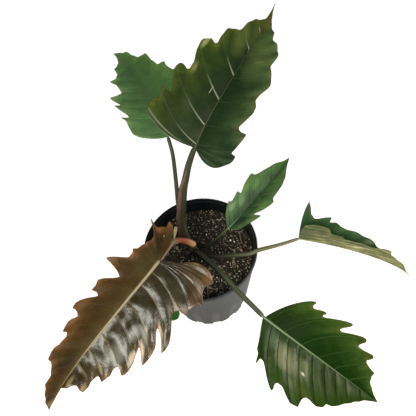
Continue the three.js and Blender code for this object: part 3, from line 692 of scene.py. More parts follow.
def makeLeafSkin(name, shape, look):
    material, tree, skin = startMaterial(name + " leaf skin, waxed upper side")
    spot, body = readUv(tree, "leafPlace"), objectPlace(tree)
    station, reach = splitVector(tree, spot)[:2]
    share, inset = splitVector(tree, readUv(tree, "leafSizes"))[:2]
    veinCount, leaning = splitVector(tree, readUv(tree, "leafVeins"))[:2]
    onRight = mapRange(tree, reach, -0.003, 0.003)
    mottle = addNoise(tree, body, leafGrain["mottle"] * mm, 4, 0.6)

    def byHalf(leftAndRight):
        return mapRange(tree, onRight, 0, 1, *leftAndRight)

    def softPatch(along, across, length, width, strength):
        size = (100 / length, 100 / width, 0)
        shift = (-along / length, -across / width, 0)
        offset = addNode(tree, "VectorMath", {0: spot, 1: size, 2: shift}, operation="MULTIPLY_ADD")
        distance = addNode(tree, "VectorMath", {0: offset.outputs[0]}, operation="LENGTH").outputs[1]
        ragged = compute(tree, "MULTIPLY_ADD", mottle, 0.9, compute(tree, "SUBTRACT", distance, 0.45))
        return mapRange(tree, ragged, 0.35, 1.1, strength, 0)

    uneven = compute(tree, "ADD", share, compute(tree, "MULTIPLY_ADD", mottle, 0.4, -0.2))
    leftColour, rightColour = [addRamp(tree, uneven, look[half]) for half in ("left", "right")]
    colour = overlay(tree, leftColour, onRight, rightColour)
    patches = addNoise(tree, body, leafGrain["patches"] * mm, 3)
    patchMask = mapRange(tree, patches, 0.45, 0.65, 0, look["patchAmount"])
    colour = overlay(tree, colour, patchMask, linearColour(look["patch"]))
    # soft spots of colour, some of them painted highlights and sheen
    for along, across, length, width, tint, strength in look.get("spotsAndHighlights", []):
        colour = overlay(tree, colour, softPatch(along, across, length, width, strength), linearColour(tint))
    # side veins; on the tall leaf's left half their colour is a painted glint, on the front leaf's right
    # half painted groove shade
    width = byHalf(look.get("veinWidth", (0.06, 0.06)))
    crisp = mapRange(tree, compute(tree, "PINGPONG", veinCount, 0.5), 0, width, 1, 0)
    veinLine = compute(tree, "MULTIPLY", crisp, mapRange(tree, share, *look["veinSpan"], 1, 0.05))
    leftVeinAndLight, rightVeinAndLight = [linearColour(tint) for tint in look["vein"]]
    veinTint = overlay(tree, leftVeinAndLight, onRight, rightVeinAndLight)
    colour = overlay(tree, colour, compute(tree, "MULTIPLY", veinLine, byHalf(look["veinShow"])), veinTint)
    # the tip and the margin
    first = min(shape[half]["margin"][0][0] for half in ("left", "right"))
    along = mapRange(tree, station, first / 100, Midrib(shape).length / 100)
    tipMask = mapRange(tree, along, look["tipFrom"], 1, 0, 0.9)
    colour = overlay(tree, colour, tipMask, linearColour(look["tip"]))
    ragged = compute(tree, "MULTIPLY_ADD", mottle, 0.012, inset)
    colour = overlay(tree, colour, mapRange(tree, ragged, 0.006, 0.018, 0.75, 0), linearColour(look["edge"]))
    # fine veins and finer streaks run with the side veins, and the skin is wrinkled between them
    perStation = 100 / leafGrain["fineVeins"] * 2 * math.pi
    stripes = compute(tree, "SINE", compute(tree, "MULTIPLY", leaning, perStation))
    long = scaleVector(tree, joinVector(tree, leaning, reach), leafGrain["streaks"])
    streaks = addNoise(tree, long, 1, 4, 0.6)
    streaky = look.get("streaks", 0.6)
    grain = compute(tree, "MULTIPLY_ADD", mottle, 0.4, 0.8 - streaky / 2)
    grain = compute(tree, "MULTIPLY_ADD", stripes, 0.05, grain)
    grain = compute(tree, "MULTIPLY_ADD", streaks, streaky, grain)
    tree.links.new(darken(tree, colour, grain), skin.inputs["Base Color"])
    height = addNoise(tree, body, leafGrain["wrinkle"] * mm, 3)
    for part, amount in ((streaks, 0.3), (stripes, 0.03), (veinLine, -0.5)):
        height = compute(tree, "MULTIPLY_ADD", part, amount, height)
    addBump(tree, skin, height, look["wrinkle"], 1)
    rough = mapRange(tree, mottle, 0, 1, look["roughness"] - 0.05, look["roughness"] + 0.08)
    tree.links.new(rough, skin.inputs["Roughness"])
    # the shine, taken back on the veins, on dull patches and towards the margin
    besideVeins = compute(tree, "MULTIPLY_ADD", veinLine, -0.8, 1)
    gloss = compute(tree, "MULTIPLY", byHalf(look["gloss"]), besideVeins)
    for dull in look.get("dull", []):
        gloss = compute(tree, "MULTIPLY", gloss, compute(tree, "SUBTRACT", 1, softPatch(*dull)))
    start, end, left = look.get("glossFade", (0, 1, 1))
    gloss = compute(tree, "MULTIPLY", gloss, mapRange(tree, share, start, end, 1, left))
    tree.links.new(gloss, skin.inputs["Specular IOR Level"])
    skin.inputs["Specular Tint"].default_value = linearColour(look.get("glossTint", "#ffffff"))
    return material


# The underside is paler and duller, with no wax, and long streaks run along its veins
def makeLeafUnderside(name, look, length):
    material, tree, skin = startMaterial(name + " leaf skin, matt underside")
    station, reach = splitVector(tree, readUv(tree, "leafPlace"))[:2]
    mottle = addNoise(tree, objectPlace(tree), leafGrain["underMottle"] * mm, 4)
    leaning = compute(tree, "MULTIPLY_ADD", station, -0.2, compute(tree, "ABSOLUTE", reach))
    long = scaleVector(tree, joinVector(tree, station, leaning), leafGrain["underStreaks"])
    streaks = addNoise(tree, long, 1, 3, 0.6)
    mixed = compute(tree, "MULTIPLY_ADD", mottle, 0.3, streaks)
    colour = addRamp(tree, mixed, zip(leafGrain["underStops"], look["under"]))
    tipMask = mapRange(tree, station, 0.5 * length / 100, length / 100, 0, 0.6)
    colour = overlay(tree, colour, tipMask, linearColour(look["tip"]))
    baseMask = mapRange(tree, station, 0.05, 0.2, 0.65, 0)
    colour = overlay(tree, colour, baseMask, linearColour(look["under"][0]))
    tree.links.new(colour, skin.inputs["Base Color"])
    addBump(tree, skin, streaks, 0.6, 0.8)
    skin.inputs["Roughness"].default_value = 0.6
    return material


# Catmull-Rom curve through points, as evenly spaced stations
def curvePoints(path, gap):
    path = [Vector(point) for point in path]
    ends = [path[0] * 2 - path[1], *path, path[-1] * 2 - path[-2]]
    fine = []
    for a, b, c, d in zip(ends, ends[1:], ends[2:], ends[3:]):
        for step in range(20):
            t = step / 20
            second, third = 2 * a - 5 * b + 4 * c - d, 3 * b - a - 3 * c + d
            fine.append(0.5 * (2 * b + (c - a) * t + second * t**2 + third * t**3))
    fine.append(path[-1])
    marks = [0]
    for a, b in zip(fine, fine[1:]):
        marks.append(marks[-1] + (b - a).length)
    count = max(4, round(marks[-1] / gap))
    points, k = [], 0
    for step in range(count + 1):
        goal = marks[-1] * step / count
        while k < len(marks) - 2 and marks[k + 1] < goal:
            k += 1
        points.append(fine[k].lerp(fine[k + 1], clamp((goal - marks[k]) / (marks[k + 1] - marks[k]))))
    return points, marks[-1]


towardsEye = Vector((-0.03, -0.52, 0.85))  # a fixed direction, up and to the front, that tubes are turned by
tubeGrid = {
    "gap": 3, "ribGap": 4, "foldGap": 2,  # mm between rings
    "stalkSides": 14, "ribSides": 10, "sheathSides": 16,
    "capAngles": (0, 30, 60),  # degrees at which a round end has its rings
    "merge": 0.003,  # mm
}


def makeTube(
    name, path, radiusAt, sides, material, node, gap=tubeGrid["gap"], flatten=1, arc=None, thickness=0,
):
    # arc(share) gives the first and last angle of an open wrap; without it the tube has round, closed ends
    points, length = curvePoints(path, gap)
    rings = [(k / (len(points) - 1), 1) for k in range(len(points))]
    if arc is None:
        for end in (0, 1):
            radius = radiusAt(end) / length
            angles = [math.radians(angle) for angle in tubeGrid["capAngles"]]
            cap = [(radius * (1 - math.cos(angle)), math.sin(angle)) for angle in angles]
            rings = [ring for ring in rings if abs(ring[0] - end) > radius]
            rings += [(abs(end - place), shrink) for place, shrink in cap]
        rings.sort()
    bm = bmesh.new()
    bmesh.ops.create_grid(bm, x_segments=sides, y_segments=len(rings) - 1, size=1)
    around = bm.loops.layers.uv.new("tubePlace")  # share of the length, and turns from the side to the eye
    data = {}
    for vertex in bm.verts:
        column = (vertex.co.x + 1) / 2
        share, shrink = rings[round((vertex.co.y + 1) / 2 * (len(rings) - 1))]
        spot = share * (len(points) - 1)
        k = min(int(spot), len(points) - 2)
        centre = points[k].lerp(points[k + 1], spot - k)
        tangent = (points[min(k + 2, len(points) - 1)] - points[max(k - 1, 0)]).normalized()
        front = (towardsEye - tangent * towardsEye.dot(tangent)).normalized()
        across = front.cross(tangent)
        angle = 2 * math.pi * column if arc is None else math.radians(blend(*arc(share), column))
        radius = radiusAt(share) * shrink
        data[vertex] = (share, angle / (2 * math.pi))
        lift, aside = math.cos(angle) * radius * flatten, math.sin(angle) * radius
        vertex.co = (centre + front * lift + across * aside) * mm
    for face in bm.faces:
        for loop in face.loops:
            loop[around].uv = data[loop.vert]
    bmesh.ops.remove_doubles(bm, verts=bm.verts, dist=tubeGrid["merge"] * mm)
    modifiers = []
    if arc is None:
        bmesh.ops.recalc_face_normals(bm, faces=bm.faces)
    else:
        modifiers.append(("SOLIDIFY", {"thickness": thickness * mm, "offset": 0}))
    modifiers.append(("SUBSURF", {"levels": 1, "render_levels": 1}))
    return finishPiece(name, bm, [material], node, modifiers)


# Radius of a stalk that is wide at the stem, and narrows quickly and then slowly towards the blade
def taper(radii):
    def radiusAt(share):
        if share < 0.5:
            return blend(radii[0], radii[1], math.sqrt(2 * share))
        return blend(radii[1], radii[2], 2 * share - 1)
    return radiusAt


# Stalk skin: smooth and slightly waxy, with a painted lit side and a painted shaded side whose colours are
# partly the stalk's own, streaked along its length
def makeStalkSkin(name, look):
    material, tree, skin = startMaterial(name + " stalk skin")
    share, turns = splitVector(tree, readUv(tree, "tubePlace"))[:2]
    shadeColour, litColour = [addRamp(tree, share, look[part]) for part in ("shade", "lit")]
    angle = compute(tree, "MULTIPLY_ADD", turns, 2 * math.pi, -math.radians(look["litAt"]))
    mottle = addNoise(tree, objectPlace(tree), 6 * mm, 4)
    facing = compute(tree, "MULTIPLY_ADD", mottle, 0.7, compute(tree, "COSINE", angle))
    mask = mapRange(tree, facing, look["litFrom"], look["litFrom"] + 0.5)
    colour = overlay(tree, shadeColour, mask, litColour)
    long = addNode(tree, "Mapping", {0: joinVector(tree, share, turns), 3: (6, 60, 1)}).outputs[0]
    grain = addNoise(tree, long, 1, 3)
    colour = darken(tree, colour, mapRange(tree, grain, 0.3, 0.7, 0.8, 1.15))
    tree.links.new(colour, skin.inputs["Base Color"])
    addBump(tree, skin, grain, 0.25, 0.3)
    skin.inputs["Roughness"].default_value = look["roughness"]
    skin.inputs["Specular IOR Level"].default_value = look.get("gloss", 0.45)
    return material


# radii are those at the stem, in the middle and at the blade. litAt is the angle, from the side that
# faces up and front, of the strip that has the lit colours, and litFrom the cosine at which they begin.
stalkShapes = {
    "tall": {
        "path": [
            (-17, 20, 120), (-18, 27, 138), (-16, 36, 160), (-11, 43, 182), (-5, 48, 210), (1, 49, 232),
            (7, 49, 255), (15, 48, 280), (19, 47, 290),
        ],
        "radii": (8, 5.4, 3.3), "litAt": -60, "litFrom": -0.1, "roughness": 0.45,
        "lit": [(0, "#4a573c"), (0.1, "#4b5840"), (0.3, "#2c3420"), (0.6, "#3a4430"), (1, "#343c2a")],
        "shade": [(0, "#2c1f18"), (0.3, "#3a2c20"), (0.7, "#3a3022"), (1, "#303424")],
    },
    "caramel": {
        "path": [
            (-6, 8, 131), (-12, 10, 139), (-20, 9, 150), (-30, 1, 168), (-38, -14, 183), (-46, -30, 195),
            (-53, -43, 204.6),
        ],
        "radii": (5.4, 3.4, 2.4), "litAt": 20, "litFrom": 0.2, "roughness": 0.35,
        "lit": [
            (0, "#fbd3ac"), (0.1, "#e0a47c"), (0.2, "#b8704f"), (0.36, "#b06c50"), (0.5, "#a88c78"),
            (1, "#b0a08c"),
        ],
        "shade": [(0, "#c07850"), (0.2, "#98543c"), (0.4, "#8a4e3e"), (0.55, "#7c6252"), (1, "#907c68")],
    },
    "back": {
        "path": [
            (-11, 19, 122), (-15, 37, 138), (-17, 52, 152), (-16, 62, 165), (-14, 70, 180), (-12, 79, 195),
            (-9, 94, 225), (-10, 110, 242),
        ],
        "radii": (4.2, 3, 2.5), "litAt": 60, "litFrom": 0.1, "roughness": 0.45,
        "lit": [(0, "#33362a"), (0.6, "#3c4338"), (1, "#3a4434")],
        "shade": [(0, "#201e17"), (0.6, "#262a20"), (1, "#2a3226")],
    },
    "front": {
        "path": [
            (-8, 5, 122), (-1, -10, 134), (15, -40, 145), (27, -67, 154), (37, -89, 160), (46, -106, 163),
            (55, -123, 165),
        ],
        "radii": (4.8, 3.9, 3), "litAt": 60, "litFrom": 0.3, "roughness": 0.42,
        "lit": [(0, "#343d2a"), (0.3, "#4c5540"), (1, "#5c6650")],
        "shade": [(0, "#1c2216"), (0.5, "#262f1e"), (1, "#323f28")],
    },
    "side": {
        "path": [
            (-4, 4, 122), (10, -14, 133), (36, -24, 143), (60, -32, 152), (70, -32, 156), (97, -36, 166),
            (122, -38, 175),
        ],
        "radii": (4.2, 3.1, 2), "litAt": 0, "litFrom": 0.4, "roughness": 0.42,
        "lit": [(0, "#222a1c"), (0.4, "#3a4230"), (0.6, "#565a3c"), (0.8, "#6a6a48"), (1, "#75765c")],
        "shade": [(0, "#161c12"), (0.5, "#222a1a"), (1, "#3f4430")],
    },
    "young": {
        "path": [(-2, 9, 122), (9, 2, 135), (18, 1, 144), (29, 3, 153), (41, 5, 163)],
        "radii": (2.8, 2, 1.5), "litAt": 0, "litFrom": 0.4, "roughness": 0.45,
        "lit": [(0, "#1a2216"), (0.7, "#26341c"), (1, "#4c5c34")],
        "shade": [(0, "#12180f"), (1, "#1c2a16")],
    },
    "low": {
        "path": [
            (-10, 3, 122), (-8, -20, 138), (-19, -49, 149), (-32, -66, 152), (-43, -71, 148),
            (-49, -73, 146),
        ],
        "radii": (3.2, 2.3, 1.8), "litAt": 0, "litFrom": 0.4, "roughness": 0.45,
        "lit": [(0, "#161c10"), (0.6, "#1c2814"), (1, "#34502a")],
        "shade": [(0, "#0f140b"), (1, "#1e2e16")],
    },
}

midrib = {"steps": 24, "sink": 0.1, "endRadius": 0.3}  # sink is a share of its radius at the stalk

for name, shape in leafShapes.items():
    look, stalk = leafLooks[name], stalkShapes[name]
    node, rib = name + "_leaf", Midrib(shape)
    makeBlade(name, shape, [makeLeafSkin(name, shape, look), makeLeafUnderside(name, look, rib.length)])
    stalkSkin = makeStalkSkin(name, stalk)
    sides = tubeGrid["stalkSides"]
    makeTube(name + "_stalk", stalk["path"], taper(stalk["radii"]), sides, stalkSkin, name + "_leaf_stalk")
    # the stalk runs on as the midrib, sunk into the blade so that only its crown shows above
    start, sides = look["ribRadius"], tubeGrid["ribSides"]
    ribPath = [Vector(stalk["path"][-1]).lerp(Vector(stalk["path"][-2]), 0.5)]
    for k in range(midrib["steps"] + 1):
        share = k / midrib["steps"]
        point, tangent, right, normal = rib.at(share)
        ribPath.append(point - normal * (midrib["sink"] * start * (1 - share)))
    ribLook = {"litAt": 0, "litFrom": 0.2, "roughness": 0.4, "gloss": look.get("ribGloss", 0.5)}
    ribLook["lit"] = ribLook["shade"] = look["rib"]
    ribSkin = makeStalkSkin(name + " midrib", ribLook)

    def ribRadius(share):
        return blend(start, midrib["endRadius"], share ** look["ribTaper"])

    makeTube(name + "_midrib", ribPath, ribRadius, sides, ribSkin, node, gap=tubeGrid["ribGap"])
print("leaves and stalks made")

# The long papery bract on the left front of the tall leaf's stalk, narrowing to a point. bottom and top are
# the angles, from the side that faces up and front towards the left, between which it wraps the stalk.
sheath = {
    "path": [
        (-17, 20, 121), (-18, 27, 138), (-16, 36, 160), (-11, 43, 182), (-5, 48, 210), (1, 49, 232),
        (6, 49, 252),
    ],
    "radii": (8.6, 6.2, 4.8), "bottom": (-38, 150), "top": (0, 12), "thickness": 0.5,
    "lit": [
        (0, "#4a4230"), (0.1, "#4c3e30"), (0.3, "#57443a"), (0.6, "#755448"), (0.9, "#866a5c"),
        (1, "#a09884"),
    ],
    "shade": [(0, "#3c3626"), (0.12, "#382c20"), (0.3, "#3c2c20"), (0.7, "#4a3424"), (1, "#6c6450")],
    "litAt": 100, "litFrom": 0.2, "roughness": 0.5, "gloss": 0.3,
}


def sheathArc(share):
    return (
        blend(sheath["bottom"][0], sheath["top"][0], smooth(share * 2)),
        blend(sheath["bottom"][1], sheath["top"][1], smooth((share - 0.4) / 0.6)),
    )


makeTube(
    "tall_stalk_sheath", sheath["path"], taper(sheath["radii"]), tubeGrid["sheathSides"],
    makeStalkSkin("sheath", sheath), "tall_leaf_sheath", arc=sheathArc, thickness=sheath["thickness"],
)
print("sheath made")

# The caramel leaf's neck rolls under on its right, and shows a grey-tan strip of its underside
neckFold = {
    "path": [(-23, -6, 215), (-25, -10, 213), (-27, -15, 210), (-29, -19, 208)],
    "radii": (3, 0.8), "flatten": 0.4,
    "lit": [(0, "#8a8468"), (1, "#7a745a")], "shade": [(0, "#6c6650"), (1, "#5c4c38")],
    "litAt": 0, "litFrom": 0.2, "roughness": 0.5, "gloss": 0.3,
}
makeTube(
    "caramel_neck_fold", neckFold["path"], lambda share: blend(*neckFold["radii"], share),
    tubeGrid["ribSides"], makeStalkSkin("caramel neck fold", neckFold), "caramel_leaf",
    gap=tubeGrid["foldGap"], flatten=neckFold["flatten"],
)

# Pot: injection-moulded polypropylene, satin and slightly blue where it catches the light
pot = {
    "height": 140, "rimRadius": 76, "wallTopRadius": 74.4, "baseRadius": 57, "wall": 1.6,
    "lipHeight": 10, "floor": 2,
    "slots": 14, "slotWidth": 10, "slotHeight": 3.8, "stepsPerSlot": 12,
    "drainHoles": 6, "drainRadius": 4, "drainPlace": 32,
    # the dust tint also paints light on the pot's right side
    "colour": "#0c1317", "dustAndLitSide": "#363f44", "roughness": 0.42,
    "gloss": 0.27, "glossTint": "#b0d2e8", "sheen": 0.05,
}


def makePotPlastic():
    material, tree, plastic = startMaterial("black polypropylene, injection moulded")
    body = objectPlace(tree)
    grain, dustAndLitSide = addNoise(tree, body, 1.2 * mm, 2), addNoise(tree, body, 25 * mm, 4)
    # the dust lies on the outside of the wall, more of it on the right
    x, y, z = splitVector(tree, body)
    radius = addNode(tree, "VectorMath", {0: joinVector(tree, x, y)}, operation="LENGTH").outputs[1]
    base = pot["baseRadius"]
    lean = (base - pot["wallTopRadius"]) / (pot["height"] - pot["lipHeight"])
    outward = compute(tree, "MULTIPLY_ADD", z, lean, radius)
    # a paler dust tint lies on the outside of the wall, and more of it towards the right is painted light on
    # that side
    outside = mapRange(tree, outward, (base - 1) * mm, (base - 0.5) * mm)
    dustAndLitSideMask = mapRange(tree, compute(tree, "MULTIPLY_ADD", x, 5, dustAndLitSide), 0.4, 0.8, 0, 0.9)
    mask = compute(tree, "MULTIPLY", dustAndLitSideMask, outside)
    colour = overlay(tree, linearColour(pot["colour"]), mask, linearColour(pot["dustAndLitSide"]))
    tree.links.new(colour, plastic.inputs["Base Color"])
    rough = mapRange(tree, dustAndLitSide, 0, 1, pot["roughness"] - 0.06, pot["roughness"] + 0.12)
    tree.links.new(rough, plastic.inputs["Roughness"])
    addBump(tree, plastic, grain, 0.12, 0.1)
    plastic.inputs["Specular IOR Level"].default_value = pot["gloss"]
    plastic.inputs["Specular Tint"].default_value = linearColour(pot["glossTint"])
    plastic.inputs["Sheen Weight"].default_value = pot["sheen"]
    return material


def makePot():
    height, lip, floor = pot["height"], pot["height"] - pot["lipHeight"], pot["floor"]
    rim, top, base, wall = pot["rimRadius"], pot["wallTopRadius"], pot["baseRadius"], pot["wall"]
    half = blend(base, top, 0.5)
    near, middle, far = [pot["drainPlace"] + pot["drainRadius"] * k for k in (-1, 0, 1)]
    profile = [
        # underside and outside of the wall
        (0, 0), (near, 0), (middle, 0), (far, 0), (base - 1.2, 0), (base - 0.3, 0.3), (base, 1.2),
        (base + 0.4, 4), (half, lip * 0.5), (top - 0.2, lip - 1.2), (top, lip - 0.3), (rim - 0.8, lip + 0.4),
        # lip, with small ridges inside it
        (rim - 0.1, lip + 1.2), (rim, lip + 2.4), (rim, height - 1.6), (rim - 0.3, height - 0.5),
        (rim - 0.9, height), (rim - 1.6, height), (rim - 2.2, height - 0.6), (rim - 2.5, height - 1.8),
        (rim - 3, height - 3.4), (rim - 2.4, height - 3.8), (rim - 2.9, height - 6.2),
        (rim - 2.5, height - 6.6),
        # inside of the wall and the floor
        (rim - 3.1, lip + 1.6), (top - wall - 0.2, lip - 0.2), (top - wall - 0.5, lip - 1.6),
        (half - wall, lip * 0.5), (base - wall, 4), (base - wall - 1, 2.2),
        (far, floor), (middle, floor), (near, floor), (0, floor),
    ]
    bm = turnProfile(profile, pot["slots"] * pot["stepsPerSlot"])
    for k in range(pot["drainHoles"]):
        spot = Matrix.Rotation(2 * math.pi * k / pot["drainHoles"], 2) @ Vector((middle * mm, 0))
        reach = pot["drainRadius"] * 0.95 * mm
        inside = [face for face in bm.faces if (face.calc_center_median().xy - spot).length < reach]
        bmesh.ops.delete(bm, geom=inside, context="FACES")
        border = [edge for edge in bm.edges if edge.is_boundary]
        for vertex in {vertex for edge in border for vertex in edge.verts}:
            vertex.co.xy = spot + (vertex.co.xy - spot).normalized() * pot["drainRadius"] * mm
        bmesh.ops.bridge_loops(bm, edges=border)
    bmesh.ops.recalc_face_normals(bm, faces=bm.faces)
    for vertex in bm.verts:  # scallops round the foot
        turn = math.atan2(vertex.co.y, vertex.co.x) / (2 * math.pi) * pot["slots"]
        across = abs(turn % 1 - 0.5) * 2 * math.pi * base / pot["slots"]
        atFoot = vertex.co.z < 4.1 * mm and vertex.co.xy.length > (base - 2) * mm
        if across < pot["slotWidth"] / 2 and atFoot:
            vertex.co.z = max(vertex.co.z, pot["slotHeight"] * mm)
            vertex.co.xy *= 0.985
    return finishPiece("nursery_pot", bm, [makePotPlastic()], "pot")


makePot()
print("pot made")

# Potting mix: dark peat and bark with white perlite and tan chips
mix = {
    "radius": 70.6, "top": 119.4, "bottom": 3, "ringGap": 2.35, "rings": 30, "steps": 120,
    # painted shade darkens the mix round a middle point and lightens it away from there
    "paintedShade": 0.5, "unshaded": 1.35, "shadeMiddle": (4 * mm, 28 * mm, 120 * mm),  # shade in and round the middle
    "seed": 7, "lumps": 240, "chips": 2600, "perlite": 460, "fibres": 26,
    "spread": 68.5, "wallAt": 69.5,  # mm within which pieces are strewn, and that none reaches past
    "batch": 100,  # pieces made at a time, since each step takes longer in a fuller mesh
    # where larger grains lie, and the orange chip: x, y and radius in mm
    "largeGrains": [
        (42.6, 10.5, 2), (2.6, 2.4, 1.5), (27.7, 36.2, 1.4), (47, 7, 1.3), (44, -38, 1.6), (24, -5, 1.3),
    ],
    "orangeChip": [(53.4, -8.3, 2.1)],
}
draw = random.Random(mix["seed"])
lumps = []
for k in range(mix["lumps"]):
    radius, turn = 70 * math.sqrt(draw.random()), 2 * math.pi * draw.random()
    width, height = 2.5 + 5 * draw.random(), 0.6 + 2.2 * draw.random()
    lumps.append((radius * math.cos(turn), radius * math.sin(turn), width, height))


def mixHeight(x, y):
    raised = max(high * math.exp(-((x - a) ** 2 + (y - b) ** 2) / wide ** 2) for a, b, wide, high in lumps)
    return mix["top"] - 1.2 + raised + 0.8 * noise.noise(Vector((x * 0.25, y * 0.25, 3)))


# Painted shade: the mix is darker round its middle, where the leaves shade it, and paler away from it
def addPaintedShade(tree, colour):
    body = objectPlace(tree)
    away = addNode(tree, "VectorMath", {0: body, 1: mix["shadeMiddle"]}, operation="DISTANCE").outputs[1]
    uneven = compute(tree, "MULTIPLY_ADD", addNoise(tree, body, 14 * mm, 3), 0.04, away)
    return darken(tree, colour, mapRange(tree, uneven, 0.03, 0.075, mix["paintedShade"], mix["unshaded"]))


# Peat crumbs about 3 mm across with finer grains between them
def makeMixMaterial():
    material, tree, soil = startMaterial("peat and bark potting mix")
    body = objectPlace(tree)
    crumbs = addNode(tree, "TexVoronoi", {"Vector": body, "Scale": 1 / (3 * mm)}).outputs[0]
    fine = addNoise(tree, body, 1.6 * mm, 5, 0.7)
    stops = [(0.3, "#0f0e0b"), (0.5, "#201d16"), (0.6, "#38342a"), (0.7, "#5c5644"), (0.8, "#8f8870")]
    # the mix's colour carries painted shade round the middle
    tree.links.new(addPaintedShade(tree, addRamp(tree, fine, stops)), soil.inputs["Base Color"])
    addBump(tree, soil, compute(tree, "MULTIPLY_ADD", crumbs, -1, fine), 0.9, 1.2)
    soil.inputs["Roughness"].default_value = 0.8
    return material


def makeMix():
    radius, top, bottom = mix["radius"], mix["top"], mix["bottom"]
    profile = [(ring * mix["ringGap"], top) for ring in range(mix["rings"])]
    profile += [(radius, top), (radius, 112), (68, 90), (55, bottom + 1), (53, bottom), (0, bottom)]
    bm = turnProfile(profile, mix["steps"])
    bmesh.ops.recalc_face_normals(bm, faces=bm.faces)
    for vertex in bm.verts:
        if vertex.co.z > (top - 1) * mm:
            vertex.co.z = mixHeight(vertex.co.x / mm, vertex.co.y / mm) * mm
    return finishPiece("potting_mix_bed", bm, [makeMixMaterial()], "potting_mix")


# One colour from dark to light for each piece, by its own tone
def makeBitMaterial(name, stops, roughness=0.7, paintedShade=False):
    material, tree, bit = startMaterial(name)
    tone = addNode(tree, "Attribute", attribute_name="tone").outputs["Fac"]
    grain = addNoise(tree, objectPlace(tree), 1.2 * mm, 3)
    colour = addRamp(tree, compute(tree, "MULTIPLY_ADD", grain, 0.3, tone), stops)
    # bark and straw take the same painted shade round the middle
    tree.links.new(addPaintedShade(tree, colour) if paintedShade else colour, bit.inputs["Base Color"])
    addBump(tree, bit, grain, 0.5, 0.3)
    bit.inputs["Roughness"].default_value = roughness
    return material


# Strews count pieces over the mix, the first of them where placed says
def scatter(name, count, material, makeBit, placed=()):
    whole = bmesh.new()
    for first in range(0, count, mix["batch"]):
        bm = bmesh.new()
        toneLayer = bm.verts.layers.float.new("tone")
        for k in range(first, min(first + mix["batch"], count)):
            radius, turn = mix["spread"] * math.sqrt(draw.random()), 2 * math.pi * draw.random()
            tone = draw.random()
            fresh, size = makeBit(bm)
            longest = max(vertex.co.length for vertex in fresh) / mm
            radius = min(radius, mix["wallAt"] - longest)
            x, y = radius * math.cos(turn), radius * math.sin(turn)
            if k < len(placed):
                x, y, grown = placed[k]
                tone = 1
                bmesh.ops.scale(bm, verts=fresh, vec=[grown / longest] * 3)
            spin = Matrix.Rotation(2 * math.pi * draw.random(), 3, "Z")
            tilt = Matrix.Rotation(draw.uniform(-0.5, 0.5), 3, "X")
            bmesh.ops.rotate(bm, verts=fresh, cent=(0, 0, 0), matrix=spin @ tilt)
            bmesh.ops.translate(bm, verts=fresh, vec=Vector((x, y, mixHeight(x, y) + size)) * mm)
            for vertex in fresh:
                vertex[toneLayer] = tone
        batch = bpy.data.meshes.new("batch")
        bm.to_mesh(batch)
        bm.free()
        whole.from_mesh(batch)
        bpy.data.meshes.remove(batch)
    return finishPiece(name, whole, [material], "potting_mix", smoothShade=False)


# Each of these makes one piece and returns its points and how far its middle stands above the mix, in mm
def barkChip(bm):
    length, width, depth = draw.uniform(0.9, 3.4), draw.uniform(0.6, 1.6), draw.uniform(0.5, 1.1)
    made = bmesh.ops.create_cube(bm, size=1)["verts"]
    for vertex in made:
        sizes = zip(vertex.co, (length, width, depth))
        vertex.co = Vector([part * size * draw.uniform(0.6, 1.1) for part, size in sizes]) * mm
    return made, 0.15 * depth


def perliteGrain(bm):
    radius = draw.choice((0.35, 0.4, 0.45, 0.5, 0.6, 0.7, 0.9, 1.2))
    made = bmesh.ops.create_icosphere(bm, subdivisions=1, radius=1)["verts"]
    for vertex in made:
        vertex.co *= radius * draw.uniform(0.75, 1.15) * mm
    return made, 0.35 * radius


def strawFibre(bm):
    length = draw.uniform(6, 20)
    made = bmesh.ops.create_grid(bm, x_segments=6, y_segments=1, size=0.5)["verts"]
    sag = draw.uniform(0.5, 3)
    for vertex in made:
        bow = vertex.co.x * vertex.co.x * sag
        vertex.co = Vector((vertex.co.x * length, vertex.co.y * 0.7 + bow, 0.3 - bow * 0.4)) * mm
    return made, 0.9


makeMix()
barkStops = [
    (0, "#100f0b"), (0.4, "#1f1c15"), (0.65, "#363125"), (0.84, "#524b3a"), (0.94, "#857d68"),
    (1, "#b8b09a"),
]
perliteStops = [(0, "#5c5a50"), (0.35, "#98968c"), (0.7, "#d8d6ce"), (1, "#f2f1ec")]
bark = makeBitMaterial("pine bark chips", barkStops, 0.75, paintedShade=True)
perlite = makeBitMaterial("perlite, expanded glass", perliteStops)
strawStops = [(0, "#453a28"), (0.6, "#6c5f44"), (1, "#a89a74")]
straw = makeBitMaterial("straw and root fibres", strawStops, paintedShade=True)
orange = makeBitMaterial("orange bark chip", [(0, "#bc7c50"), (1, "#ecbc8a")])
scatter("bark_chips", mix["chips"], bark, barkChip)
scatter("perlite_grains", mix["perlite"], perlite, perliteGrain, mix["largeGrains"])
scatter("orange_chip", 1, orange, perliteGrain, mix["orangeChip"])
fibres = scatter("straw_fibres", mix["fibres"], straw, strawFibre)
fibreWall = fibres.modifiers.new("Solidify", "SOLIDIFY")
fibreWall.thickness = 0.35 * mm
print("potting mix made")

# Stem: a short ringed stub, brown and corky
stem = {
    "x": -10, "y": 10, "steps": 32,
    "profile": [
        (0, 74), (6, 74), (7.8, 78), (7.4, 104), (7.9, 108), (7.2, 114), (7.8, 118), (6.9, 124), (5, 126.4),
        (0, 126.8),
    ],
    "cork": [(0.3, "#2a2418"), (0.6, "#4a4630"), (1, "#6a6444")],
}


def makeStem():
    bm = turnProfile(stem["profile"], stem["steps"])
    bmesh.ops.recalc_face_normals(bm, faces=bm.faces)
    bmesh.ops.translate(bm, verts=bm.verts, vec=Vector((stem["x"], stem["y"], 0)) * mm)
    material, tree, cork = startMaterial("corky stem skin")
    grain = addNoise(tree, objectPlace(tree), 3 * mm, 5)
    tree.links.new(addRamp(tree, grain, stem["cork"]), cork.inputs["Base Color"])
    addBump(tree, cork, grain, 0.6, 0.6)
    cork.inputs["Roughness"].default_value = 0.7
    smoothing = [("SUBSURF", {"levels": 1, "render_levels": 1})]
    return finishPiece("plant_stem", bm, [material], "stem", smoothing)


makeStem()
print("stem made")

